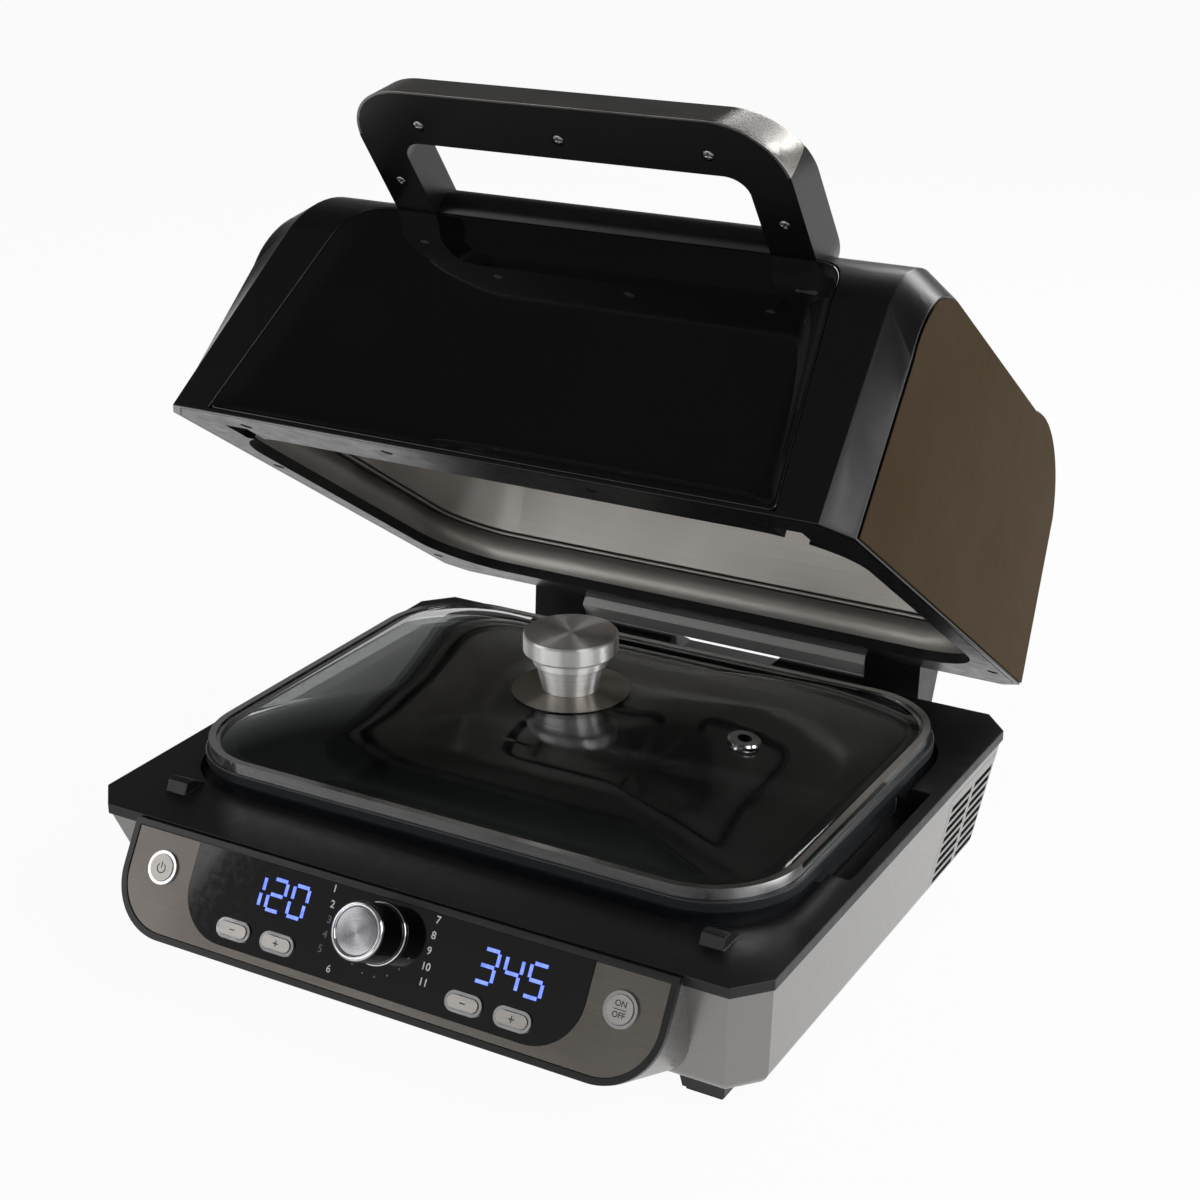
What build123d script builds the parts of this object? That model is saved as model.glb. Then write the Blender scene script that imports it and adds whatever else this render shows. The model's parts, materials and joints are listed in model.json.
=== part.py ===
from build123d import *
import math
import os

os.makedirs("parts", exist_ok=True)

# Driving dimensions in millimetres and degrees. The front faces -Y and Z is up from the table.
deck_width = 400.0
deck_depth = 338.2
half_width = deck_width / 2
half_deck = deck_depth / 2
corner_run_x = 15.0
corner_run_y = 17.1
deck_height = 92.0
deck_thickness = 6.0
seam_inset = 1.2
base_bottom = 11.0
base_wall = 2.5
front_slope = 0.37
side_slope = 0.19
rear_slope = 0.06
base_edge_radius = 14.0
fit_gap = 0.3
shaft_gap = 0.05

deck_side_margin = 19.0
deck_front_margin = 41.5
deck_back_margin = 32.1
opening_half_width = half_width - deck_side_margin
opening_half_depth = (deck_depth - deck_front_margin - deck_back_margin) / 2
opening_middle = (deck_front_margin - deck_back_margin) / 2
opening_radius = 48.0
recess_width = 11.8
recess_reach = opening_half_width + recess_width
recess_front = -50.0
recess_back = 58.0
recess_depth = 15.0
nub_height = 6.0
nub_width = 13.0
nub_length = 18.0
nub_side_margin = 32.0
nub_front_margin = 27.1
nub_outer = half_width - nub_side_margin
nub_inner = nub_outer - nub_width
nub_front = nub_front_margin - half_deck
nub_back = nub_front + nub_length

vent_length = 70.0
vent_back_margin = 19.1
vent_back = half_deck - vent_back_margin
vent_front = vent_back - vent_length
vent_top = 13.0
vent_bottom = 73.0
vent_rows = 8
vent_pitch = 6.7
vent_slot = 4.0

foot_pad_height = 2.0
foot_width = 23.0
foot_side_margin = 35.0
front_foot_margin = 38.1
rear_foot_margin = 51.1
foot_outer = half_width - foot_side_margin
foot_inner = foot_outer - foot_width
front_foot_y = front_foot_margin - half_deck
foot_depth = 26.0
rear_foot_y = half_deck - rear_foot_margin

pot_side_gap = 13.0
pot_end_gap = 14.8
pot_half_width = opening_half_width - pot_side_gap
pot_half_depth = opening_half_depth - pot_end_gap
pot_radius = 42.0
pot_wall = 3.0
pot_bottom = 32.0
pot_draft = 5.0
flange_side_gap = 1.0
flange_end_gap = 2.8
flange_half_width = opening_half_width - flange_side_gap
flange_half_depth = opening_half_depth - flange_end_gap
flange_radius = 50.0
flange_seat = 97.0
flange_thickness = 2.5
flange_bead = 3.5
pot_rim_top = 103.0
well_gap = 3.5
well_wall = 1.5
well_bottom = 18.0
element_radius = 3.25
element_height = 25.0

rim_side_step = 2.4
rim_end_step = 0.2
glass_rim_half_width = flange_half_width - rim_side_step
glass_rim_half_depth = flange_half_depth - rim_end_step
glass_rim_height = 6.0
glass_rise = 23.5
glass_thickness = 3.5
knob_radius = 26.2
knob_top = 166.0
knob_flange_radius = 33.0
grommet_x = 107.0
grommet_y = 2.5

panel_tilt = 31.1
panel_reach = 3.35
panel_side_margin = 38.5
panel_top_y = -half_deck - panel_reach
panel_top_z = deck_height + fit_gap
panel_half_width = half_width - panel_side_margin
panel_height = 58.8
panel_radius = 33.0
panel_frame_width = 3.5
window_side_margin = 43.5
window_low_margin = 8.0
window_half_width = panel_half_width - window_side_margin
window_height = panel_height - window_low_margin
window_radius = panel_radius - 6.0
dial_drop = 21.5
dial_radius = 15.0
dial_height = 21.0
round_button_margin = 25.0
round_button_x = panel_half_width - round_button_margin
round_button_drop = 21.9
round_button_radius = 7.0
oblong_margin = 34.6
oblong_pitch = 27.6
oblong_outer_x = window_half_width - oblong_margin
oblong_inner_x = oblong_outer_x - oblong_pitch
oblong_button_x = (-oblong_outer_x, -oblong_inner_x, oblong_inner_x, oblong_outer_x)
oblong_button_drop = 41.3
oblong_width = 17.0
oblong_height = 6.6
bezel_width = 1.6
button_travel = 1.0

hinge_reach = 27.45
hinge_drop = 24.6
hinge_y = half_deck + hinge_reach
hinge_z = deck_height - hinge_drop
open_angle = 34.1
shaft_radius = 4.0
barrel_radius = 17.0
arm_inner = 98.5
arm_outer = 134.0

lid_height = 154.0
lid_wall = 3.0
side_panel_thickness = 1.2
lid_side_margin = 16.0
lid_front_margin = 40.1
lid_back_margin = 29.1
lid_opening_half_width = half_width - lid_side_margin
lid_opening_front = lid_front_margin - half_deck
lid_opening_back = half_deck - lid_back_margin
lid_opening_radius = 45.0
lid_rim_height = 6.0
collar_top = 24.0
liner_roof_gap = 50.0
liner_top = lid_height - liner_roof_gap
liner_side_step = 8.0
liner_half_width = lid_opening_half_width - liner_side_step
liner_draft = 14.0
handle_half_width = 125.0
handle_top = 24.0
handle_depth = 22.0
handle_radius = 38.0
handle_forward = 6.4
handle_rise = 12.1
grip_half_width = 100.0
grip_top = -13.0
grip_radius = 12.0
rail_radius = 14.0
rail_back = 71.1
rail_drop = 5.5
band_thickness = 2.0
fan_radius = 62.0
fan_blades = 8


def box_between(low, high):
    """A block between two opposite corners."""
    size = [high[i] - low[i] for i in range(3)]
    middle = [(high[i] + low[i]) / 2 for i in range(3)]
    return Pos(*middle) * Box(*size)


def rounded_slab(half_width, half_depth, middle, radius, low, high, taper=0.0):
    """An upright block with rounded corners, drawn in upwards by its taper."""
    outline = Pos(0, middle, low) * RectangleRounded(2 * half_width, 2 * half_depth, radius)
    return extrude(outline, amount=high - low, taper=taper)


def rod(start, end, radius):
    """A round bar from one point to another."""
    direction = Vector(*end) - Vector(*start)
    seat = Plane(origin=start, z_dir=direction)
    return seat * Cylinder(radius, direction.length, align=(Align.CENTER, Align.CENTER, Align.MIN))


def side_prism(points, low_x, high_x):
    """A profile drawn in Y and Z, carried across from one X to another."""
    corners = [(low_x, y, z) for y, z in points]
    face = Face(Wire.make_polygon(corners, close=True))
    return extrude(face, amount=high_x - low_x, dir=(1, 0, 0))


def both_sides(piece):
    """The piece and its mirror image across the middle plane."""
    return Compound([*piece.solids(), *mirror(piece, about=Plane.YZ).solids()])


def keep(name, *pieces):
    """Puts the solids of one node on the list that is written at the end."""
    solids = [solid for piece in pieces for solid in piece.solids()]
    nodes[name] = solids


def open_lid(piece):
    """Turns a piece from the closed lid's place to the open lid's place."""
    hinge = Axis((0, hinge_y, hinge_z), (1, 0, 0))
    return piece.rotate(hinge, -open_angle)


def keep_on_lid(name, *pieces):
    """Keeps pieces that are drawn with the lid closed, in the lid's open place."""
    keep(name, *[open_lid(piece) for piece in pieces])


nodes = {}
deck_underside = deck_height - deck_thickness


# The base: a tapered eight-sided tub under a flat deck
def octagon_wire(half_width, front, back, height):
    x_flat = half_width - corner_run_x
    points = [
        (x_flat, front), (half_width, front + corner_run_y),
        (half_width, back - corner_run_y), (x_flat, back),
        (-x_flat, back), (-half_width, back - corner_run_y),
        (-half_width, front + corner_run_y), (-x_flat, front),
    ]
    return Wire.make_polygon([(x, y, height) for x, y in points], close=True)


def base_body(inset):
    depth = deck_underside - base_bottom - inset
    margin = seam_inset + inset
    upper = octagon_wire(half_width - margin, margin - half_deck, half_deck - margin, deck_underside)
    lower = octagon_wire(
        half_width - margin - side_slope * depth,
        margin - half_deck + front_slope * depth,
        half_deck - margin - rear_slope * depth,
        base_bottom + inset,
    )
    body = Solid.make_loft([lower, upper], ruled=True)
    bottom_edges = body.faces().sort_by(Axis.Z)[0].edges()
    return fillet(bottom_edges, base_edge_radius - inset)


base_outer = base_body(0)
base_inner = base_body(base_wall)


def vent_window(clearance):
    low = (half_width - 30, vent_front + clearance, deck_height - vent_bottom + clearance)
    high = (half_width + 5, vent_back - clearance, deck_height - vent_top - clearance)
    return box_between(low, high)


floor_half_width = half_width - 70
floor_half_depth = half_deck - 74.1


def make_base_shell():
    shell = base_outer - base_inner
    shell -= rounded_slab(floor_half_width, floor_half_depth, 8, 10, base_bottom - 1, base_bottom + base_wall + 1)
    shell -= vent_window(0)
    shell -= mirror(vent_window(0), about=Plane.YZ)
    shell -= rod((inlet_x, half_deck - 30, inlet_z), (inlet_x, half_deck + 5, inlet_z), inlet_radius + fit_gap)
    for x in (-housing_screw_x, housing_screw_x):
        shell -= rod((x, half_deck - 20, hinge_z), (x, hinge_y, hinge_z), screw_radius + fit_gap)
    for x, y in floor_screw_places:
        shell -= rod((x, y, base_bottom - 1), (x, y, base_bottom + 9), 3 + fit_gap)
    keep("base_shell", shell)
    plate_low = base_bottom + base_wall
    plate = rounded_slab(floor_half_width + 10, floor_half_depth + 10, 8, 14, plate_low, plate_low + 2)
    slot = rounded_slab(30, 2, 0, 1.9, plate_low - 1, plate_low + 3)
    for row in range(7):
        for side in (-75, 0, 75):
            plate -= Pos(side, -40 + row * 16, 0) * slot
    for x, y in floor_screw_places:
        plate -= rod((x, y, base_bottom - 1), (x, y, base_bottom + 9), 3 + fit_gap)
    keep("base_floor", plate)


screw_radius = 1.9
floor_screw_x = floor_half_width + 4
floor_screw_places = [(x, y) for y in (-50, 70) for x in (-floor_screw_x, floor_screw_x)]
inlet_x = 120.0
inlet_z = 40.0
inlet_radius = 8.0
housing_screw_x = 70.0


def make_vent_panels():
    skin = (base_outer - base_inner) & vent_window(fit_gap)
    first_row = deck_height - 20
    for row in range(vent_rows):
        top = first_row - row * vent_pitch
        for front, back in ((vent_front + 5, vent_front + 35), (vent_front + 40, vent_back - 3)):
            skin -= box_between((half_width - 50, front, top - vent_slot), (half_width + 5, back, top))
    keep("vent_panels", both_sides(skin))


def make_deck_cover():
    outline = octagon_wire(half_width, -half_deck, half_deck, deck_underside)
    deck = extrude(Face(outline), amount=deck_thickness, dir=(0, 0, 1))
    pocket_wall = 1.0
    pocket_floor = deck_height - recess_depth
    inner_x = pot_half_width + well_gap + well_wall + fit_gap
    tray = box_between(
        (inner_x, recess_front - pocket_wall, pocket_floor - pocket_wall),
        (recess_reach + pocket_wall, recess_back + pocket_wall, deck_underside),
    )
    hollow = box_between((0, recess_front, pocket_floor), (recess_reach, recess_back, deck_height + 1))
    deck -= rounded_slab(
        opening_half_width, opening_half_depth, opening_middle, opening_radius,
        deck_underside - 1, deck_height + 1,
    )
    deck += tray
    deck += mirror(tray, about=Plane.YZ)
    deck -= hollow
    deck -= mirror(hollow, about=Plane.YZ)
    profile = [
        (nub_front, deck_height), (nub_front + 3, deck_height + nub_height),
        (nub_back - 10, deck_height + nub_height), (nub_back, deck_height),
    ]
    nub = side_prism(profile, nub_inner, nub_outer)
    keep("deck_cover", deck + nub + mirror(nub, about=Plane.YZ))


def foot_section(front, height, growth):
    """A foot's outline at one height, the right-hand one."""
    middle = Pos((foot_inner + foot_outer) / 2, front + foot_depth / 2, height)
    return (middle * Rectangle(foot_width + 2 * growth, foot_depth + 2 * growth)).face()


def foot_block(front, growth):
    """A foot that widens towards the base, grown by a clearance."""
    lower = foot_section(front, foot_pad_height - growth, growth)
    upper = foot_section(front, base_bottom + 16, growth + 4)
    return loft([lower, upper], ruled=True)


def make_feet():
    """Wedge feet at the front, shorter blocks at the back, each on a rubber pad."""
    feet = {"front_feet": front_foot_y, "rear_feet": rear_foot_y}
    pads = []
    for name, front in feet.items():
        leg = foot_block(front, 0) - base_outer
        leg = leg.solids().sort_by(Axis.Z)[0]
        keep(name, both_sides(leg))
        pads.append(extrude(foot_section(front, foot_pad_height, -1.5), amount=-foot_pad_height))
    keep("foot_pads", *[both_sides(pad) for pad in pads])


# The cooking well, its lower element and the things that sit in it
well_half_width = pot_half_width + well_gap
well_half_depth = pot_half_depth + well_gap
well_radius = pot_radius + well_gap
element_end_y = opening_middle + well_half_depth + well_wall + 10
element_end_x = 25.0


def tube_path(points, radius):
    """A round heating tube along straight runs joined by arcs."""
    path = FilletPolyline(*points, radius=radius)
    start = Plane(origin=path @ 0, z_dir=path % 0)
    return sweep(start * Circle(element_radius), path=path)


def make_cooking_well():
    outer_width = well_half_width + well_wall
    outer_depth = well_half_depth + well_wall
    outer_radius = well_radius + well_wall
    lip = flange_seat - fit_gap
    well = rounded_slab(outer_width, outer_depth, opening_middle, outer_radius, well_bottom, lip)
    flange_low = deck_underside - fit_gap - well_wall
    flange = rounded_slab(
        opening_half_width + 5, opening_half_depth + 5, opening_middle, opening_radius + 5,
        flange_low, deck_underside - fit_gap,
    )
    pocket = box_between(
        (outer_width + 0.01, recess_front - 1 - fit_gap, flange_low - 1),
        (half_width, recess_back + 1 + fit_gap, deck_height),
    )
    well = well + (flange - pocket - mirror(pocket, about=Plane.YZ))
    well -= rounded_slab(
        well_half_width, well_half_depth, opening_middle, well_radius, well_bottom + well_wall, deck_height + 20,
    )
    for x in (-element_end_x, element_end_x):
        well -= rod((x, 60, element_height), (x, element_end_y, element_height), element_radius + fit_gap)
    keep("cooking_well", well)
    floor = well_bottom + well_wall
    reflector = rounded_slab(
        well_half_width - 21.5, well_half_depth - 21, opening_middle, well_radius - 15.5, floor, floor + 0.8,
    )
    keep("heat_reflector", reflector)


def make_lower_element():
    back_run = opening_middle + well_half_depth - 53.7
    side_run = well_half_width - 43.5
    front_run = opening_middle - well_half_depth + 30.3
    points = [
        (-element_end_x, element_end_y), (-element_end_x, back_run), (-side_run, back_run),
        (-side_run, front_run), (side_run, front_run), (side_run, back_run),
        (element_end_x, back_run), (element_end_x, element_end_y),
    ]
    element = tube_path([(x, y, element_height) for x, y in points], 22)
    keep("lower_heating_element", element)
    clip_low = well_bottom + well_wall + 0.8
    clip_high = element_height + element_radius + 1.2
    clips = []
    for y in (-40, 20):
        clip = box_between((side_run - 6, y - 3, clip_low), (side_run + 6, y + 3, clip_high))
        clip -= rod((side_run, y - 4, element_height), (side_run, y + 4, element_height), element_radius + fit_gap)
        clips.append(both_sides(clip))
    keep("element_brackets", *clips)


def make_pot():
    outer = pot_body(0, pot_bottom)
    inner = pot_body(pot_wall, pot_bottom + pot_wall)
    flange_top = flange_seat + flange_thickness
    flange = rounded_slab(
        flange_half_width, flange_half_depth, opening_middle, flange_radius, flange_seat, flange_top,
    )
    bead = rounded_slab(
        flange_half_width, flange_half_depth, opening_middle, flange_radius, flange_seat, pot_rim_top,
    )
    bead -= rounded_slab(
        flange_half_width - flange_bead, flange_half_depth - flange_bead, opening_middle,
        flange_radius - flange_bead, flange_top, pot_rim_top + 1,
    )
    rim_edges = bead.edges().filter_by(lambda edge: abs(edge.center().Z - pot_rim_top) < 0.01)
    bead = fillet(rim_edges, flange_bead * 0.4)
    keep("cooking_pot", (outer + flange + bead) - inner)


def pot_body(inset, bottom):
    """The pot's bowl, narrower at the bottom by its draft and rounded underneath."""
    top = flange_seat + flange_thickness
    outline = Pos(0, opening_middle, top) * RectangleRounded(
        2 * (pot_half_width - inset), 2 * (pot_half_depth - inset), pot_radius - inset
    )
    body = extrude(outline.face(), amount=top - bottom, dir=(0, 0, -1), taper=pot_draft)
    low_edges = body.faces().sort_by(Axis.Z)[0].edges()
    return fillet(low_edges, 14 - inset)


# The loose lid: a glass dome in a steel rim with a turned knob
dome_flat_width = 46.0
dome_flat_depth = 40.0
glass_low = pot_rim_top + fit_gap + 1.4
glass_edge_top = glass_low + glass_thickness
glass_crown = glass_edge_top + glass_rise
glass_edge_inset = 1.6


def dome(inset, low, rise, steps=6):
    """A shallow dome over a rounded rectangle, steepest at its edge."""
    wide = glass_rim_half_width - 4.2 - inset
    deep = glass_rim_half_depth - 4.2 - inset
    wires = []
    for step in range(steps):
        share = step / (steps - 1)
        half_width = wide + (dome_flat_width - wide) * share
        half_depth = deep + (dome_flat_depth - deep) * share
        radius = (flange_radius - 4.2 - inset) * (1 - share) + 30 * share
        height = low + rise * (1 - (1 - share) ** 2)
        outline = Pos(0, opening_middle, height) * RectangleRounded(2 * half_width, 2 * half_depth, radius)
        wires.append(outline.wire())
    return Solid.make_loft(wires, ruled=True)


def make_glass_lid():
    edge_width = glass_rim_half_width - glass_edge_inset
    edge_depth = glass_rim_half_depth - glass_edge_inset
    edge_radius = flange_radius - glass_edge_inset
    glass = rounded_slab(edge_width, edge_depth, opening_middle, edge_radius, glass_low, glass_edge_top)
    glass = glass + dome(0, glass_edge_top - 0.01, glass_rise)
    below = rounded_slab(
        edge_width - 7, edge_depth - 7, opening_middle, edge_radius - 7, glass_low - 1, glass_low + 0.2,
    )
    glass = glass - dome(3, glass_low + 0.1, glass_rise) - below
    bolt_hole = rod((0, opening_middle, glass_low), (0, opening_middle, glass_crown + 5), 3.3)
    vent_hole = rod((grommet_x, grommet_y, glass_low), (grommet_x, grommet_y, glass_crown + 5), 6.0)
    keep("glass_pane", glass - bolt_hole - vent_hole)

    rim_low = pot_rim_top + fit_gap
    rim_high = rim_low + glass_rim_height
    rim = rounded_slab(
        glass_rim_half_width, glass_rim_half_depth, opening_middle, flange_radius, rim_low, rim_high,
    )
    groove_width = glass_rim_half_width - 1.2
    groove_depth = glass_rim_half_depth - 1.2
    rim -= rounded_slab(
        groove_width, groove_depth, opening_middle, flange_radius - 1.2, rim_low + 1.2, rim_high - 1.0,
    )
    rim -= rounded_slab(
        groove_width - 2.8, groove_depth - 2.8, opening_middle, flange_radius - 4, rim_high - 2, rim_high + 1,
    )
    rim -= rounded_slab(
        groove_width - 5.5, groove_depth - 5.5, opening_middle, flange_radius - 6.7, rim_low - 1, rim_low + 2,
    )
    keep("glass_rim", rim)

    seat = glass_crown
    flange_profile = [(3.4, seat), (knob_flange_radius - 1, seat), (knob_flange_radius, seat + 0.8), (12, seat + 2)]
    flange_profile.append((3.4, seat + 2))
    keep("knob_flange", turned(flange_profile, 0, opening_middle))
    foot = seat + 2
    knob_profile = [
        (0, foot), (16, foot), (19.5, foot + 15), (21, foot + 15.5), (21, foot + 19),
        (24, foot + 20.5), (knob_radius, foot + 22.5), (knob_radius, knob_top - 1),
        (knob_radius - 0.8, knob_top), (0, knob_top),
    ]
    knob = turned(knob_profile, 0, opening_middle)
    knob -= rod((0, opening_middle, foot - 1), (0, opening_middle, foot + 10), 3.4)
    keep("lid_knob", knob)
    underside = glass_crown - glass_thickness
    screw = rod((0, opening_middle, underside - 3), (0, opening_middle, foot + 8), 3)
    screw += rod((0, opening_middle, underside - 3), (0, opening_middle, underside - 0.2), 8)
    keep("knob_screw", screw)
    keep("vent_grommet", make_grommet())


def turned(profile, x, y):
    """A round part from a profile of radius and height, about an upright axis."""
    face = Face(Wire.make_polygon([(radius, 0, height) for radius, height in profile], close=True))
    return Pos(x, y, 0) * revolve(face, axis=Axis.Z, revolution_arc=360)


def make_grommet():
    """An eyelet through the glass, set square to the slope of the dome."""
    run = glass_rim_half_width - 4.2 - dome_flat_width
    share = (glass_rim_half_width - 4.2 - grommet_x) / run
    height = glass_edge_top + glass_rise * (1 - (1 - share) ** 2)
    slope = math.degrees(math.atan(glass_rise * 2 * (1 - share) / run))
    grip = glass_thickness / 2 + 0.6
    profile = [
        (4, -grip - 1.2), (7.5, -grip - 1.2), (8.5, -grip - 0.6), (8.5, -grip), (5.4, -grip),
        (5.4, grip), (9, grip), (9, grip + 0.5), (8, grip + 1.4), (4, grip + 1.4),
    ]
    eyelet = turned(profile, 0, 0)
    return Pos(grommet_x, grommet_y, height - glass_thickness / 2 - 0.2) * Rot(0, slope, 0) * eyelet


# The tilted control panel: a local plane with X along the panel and Y up its slope
tilt = math.radians(panel_tilt)
panel_plane = Plane(
    origin=(0, panel_top_y, panel_top_z),
    x_dir=(1, 0, 0),
    z_dir=(0, -math.cos(tilt), math.sin(tilt)),
)


def panel_outline(half_width, top, bottom, radius, depth):
    """The panel's shape: square at its top edge and round at its two lower corners."""
    points = [(-half_width, -top), (half_width, -top), (half_width, -bottom), (-half_width, -bottom)]
    face = Face(Wire.make_polygon([(x, y, depth) for x, y in points], close=True))
    low_corners = face.vertices().sort_by(Axis.Y)[:2]
    return fillet(low_corners, radius)


def panel_block(half_width, top, bottom, radius, low, high):
    outline = panel_outline(half_width, top, bottom, radius, low)
    return panel_plane * extrude(outline, amount=high - low, dir=(0, 0, 1))


def panel_rod(x, drop, radius, low, high):
    return panel_plane * (Pos(x, -drop, (low + high) / 2) * Cylinder(radius, high - low))


def panel_oblong(x, drop, width, height, low, high):
    outline = Pos(x, -drop, low) * RectangleRounded(width, height, height / 2 - 0.01)
    return panel_plane * extrude(outline, amount=high - low)


housing_wall = 3.0
housing_draft = 6.5
frame_low = -3.0
fascia_low = -2.6
fascia_high = -0.6
window_high = -0.4
board_depth = -12.0


def make_panel_housing():
    outer_face = panel_outline(panel_half_width, 0, panel_height, panel_radius, frame_low)
    outer = panel_plane * extrude(outer_face, amount=75, dir=(0, 0, -1), taper=housing_draft)
    inner_face = panel_outline(
        panel_half_width - housing_wall, housing_wall, panel_height - housing_wall,
        panel_radius - housing_wall, frame_low + 1,
    )
    inner = panel_plane * extrude(inner_face, amount=82, dir=(0, 0, -1), taper=housing_draft)
    housing = outer - inner - base_outer
    deck_zone = box_between(
        (-deck_width, -half_deck - fit_gap, deck_underside - fit_gap), (deck_width, 0, deck_height + 20),
    )
    housing = housing - deck_zone
    behind = box_between((-deck_width, -half_deck + 45, -50), (deck_width, half_deck, deck_height + 50))
    housing = housing - behind - both_sides(foot_block(front_foot_y, fit_gap))
    keep("panel_housing", housing.solids().sort_by(lambda solid: solid.volume)[-1])


def make_panel_face():
    frame_inner = panel_half_width - panel_frame_width
    frame_bottom = panel_height - panel_frame_width
    frame_corner = panel_radius - panel_frame_width
    frame = panel_block(panel_half_width, 0, panel_height, panel_radius, frame_low, 0)
    frame -= panel_block(
        frame_inner, panel_frame_width, frame_bottom, frame_corner, fascia_low, 1,
    )
    ledge = 2.0
    frame -= panel_block(
        frame_inner - ledge, panel_frame_width + ledge, frame_bottom - ledge, frame_corner - ledge,
        frame_low - 1, 1,
    )
    keep("panel_frame", frame)

    edge = 0.15
    fascia = panel_block(
        frame_inner - edge, panel_frame_width + edge, frame_bottom - edge, frame_corner - edge,
        fascia_low, fascia_high,
    )
    fascia -= panel_block(
        window_half_width, 0, window_height, window_radius, fascia_low - 1, fascia_high + 1,
    )
    window = panel_block(
        window_half_width - edge, panel_frame_width + edge, window_height - edge, window_radius - edge,
        fascia_low, window_high,
    )
    bezels = []
    for x in (-round_button_x, round_button_x):
        ring_radius = round_button_radius + fit_gap
        fascia -= panel_rod(x, round_button_drop, ring_radius + 0.6, fascia_low - 1, 1)
        bezel = panel_rod(x, round_button_drop, ring_radius + bezel_width, fascia_high, fascia_high + 1.4)
        bezel += panel_rod(x, round_button_drop, ring_radius + 0.5, fascia_low, fascia_high + 1.4)
        bezels.append(bezel - panel_rod(x, round_button_drop, ring_radius, fascia_low - 1, 3))
    for x in oblong_button_x:
        wide = oblong_width + 2 * fit_gap
        high = oblong_height + 2 * fit_gap
        window -= panel_oblong(x, oblong_button_drop, wide + 1.2, high + 1.2, fascia_low - 1, 1)
        bezel = panel_oblong(
            x, oblong_button_drop, wide + 2 * bezel_width, high + 2 * bezel_width, window_high, window_high + 1.2,
        )
        bezel += panel_oblong(x, oblong_button_drop, wide + 1, high + 1, fascia_low, window_high + 1.2)
        bezels.append(bezel - panel_oblong(x, oblong_button_drop, wide, high, fascia_low - 1, 3))
    window -= panel_rod(0, dial_drop, shaft_radius, fascia_low - 1, 1)
    keep("fascia_plate", fascia)
    keep("display_window", window)
    keep("button_bezels", *bezels)


# Plain seven-bar digits, and marks that stand in for the list of programmes
digit_height = 16.0
digit_width = 9.0
digit_bar = 1.8
digit_slant = 0.12
digit_pitch = 13.5
digit_bars = {
    "0": "abcdef", "1": "bc", "2": "abged", "3": "abgcd", "4": "fgbc",
    "5": "afgcd", "6": "afgcde", "7": "abc", "8": "abcdefg", "9": "abcdfg",
}


def digit_bar_block(letter, x, drop):
    """One bar of a digit, named from a to g as on any seven-bar display."""
    half = digit_height / 2
    centres = {
        "a": (0, half), "g": (0, 0), "d": (0, -half), "f": (-digit_width / 2, half / 2),
        "b": (digit_width / 2, half / 2), "e": (-digit_width / 2, -half / 2), "c": (digit_width / 2, -half / 2),
    }
    across, up = centres[letter]
    flat = letter in "agd"
    length = (digit_width if flat else half) - digit_bar
    size = (length, digit_bar) if flat else (digit_bar, length)
    centre_x = x + across + up * digit_slant
    block = Pos(centre_x, up - drop, window_high + 0.06) * Box(size[0], size[1], 0.12)
    return panel_plane * block


def make_display():
    bars = []
    for text, middle, drop in (("120", -64.0, 18.5), ("345", 76.5, 21.0)):
        for place, figure in enumerate(text):
            x = middle + (place - 1) * digit_pitch
            bars += [digit_bar_block(letter, x, drop) for letter in digit_bars[figure]]
    keep("display_digits", *bars)


def make_buttons():
    """Six push buttons, each a cap in its ring with a stem towards the board."""
    stem_low = board_depth + 1.6 + button_travel + 0.4
    flange_high = fascia_low - fit_gap
    cap_low = flange_high - 1.0
    names = {"power_button": -round_button_x, "start_button": round_button_x}
    for name, x in names.items():
        cap = panel_rod(x, round_button_drop, round_button_radius, flange_high - 1.5, fascia_high + 2.0)
        cap += panel_rod(x, round_button_drop, round_button_radius + 2, flange_high - 1.5, flange_high)
        cap += panel_rod(x, round_button_drop, 2, stem_low, cap_low)
        keep(name, cap)
    names = ("preset_button", "heat_button", "clock_button", "manual_button")
    for name, x in zip(names, oblong_button_x):
        cap = panel_oblong(
            x, oblong_button_drop, oblong_width, oblong_height, flange_high - 1.5, window_high + 2.0,
        )
        cap += panel_oblong(
            x, oblong_button_drop, oblong_width + 3, oblong_height + 3, flange_high - 1.5, flange_high,
        )
        cap += panel_rod(x, oblong_button_drop, 2, stem_low, cap_low)
        keep(name, cap)


def make_dial():
    """A turning selector on a spindle that runs back into its encoder."""
    base = window_high + fit_gap
    top = base + dial_height
    knob = panel_rod(0, dial_drop, dial_radius, base + 1.5, top)
    knob = fillet(knob.edges().filter_by(GeomType.CIRCLE).group_by(Axis(panel_plane.origin, panel_plane.z_dir))[-1], 1)
    knob += panel_rod(0, dial_drop, 3, board_depth + 3, base + 2)
    keep("dial_knob", knob)
    skirt = panel_rod(0, dial_drop, dial_radius + 1, base, base + 1.5)
    skirt -= panel_rod(0, dial_drop, 3, base - 1, base + 2)
    cap = panel_rod(0, dial_drop, dial_radius - 2.5, top, top + 0.8)
    keep("dial_trim", skirt, cap)


def make_control_board():
    board = panel_block(
        panel_half_width - 12, 8, panel_height - 8, panel_radius - 12, board_depth - 1.6, board_depth,
    )
    for x in (-round_button_x, round_button_x):
        board += panel_rod(x, round_button_drop, 3, board_depth, board_depth + 1.6)
    for x in oblong_button_x:
        board += panel_rod(x, oblong_button_drop, 3, board_depth, board_depth + 1.6)
    post_x = round_button_x - 21.5
    posts = [(x, drop) for x in (-post_x, post_x) for drop in (14, 36)]
    for x, drop in posts:
        board += panel_rod(x, drop, 2.5, board_depth, fascia_low)
    board -= base_outer
    keep("control_board", board.solids().sort_by(lambda solid: solid.volume)[-1])
    encoder = panel_rod(0, dial_drop, 8, board_depth, board_depth + 6)
    encoder -= panel_rod(0, dial_drop, 3 + fit_gap, board_depth + 2.7, board_depth + 7)
    keep("dial_encoder", encoder)


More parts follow.
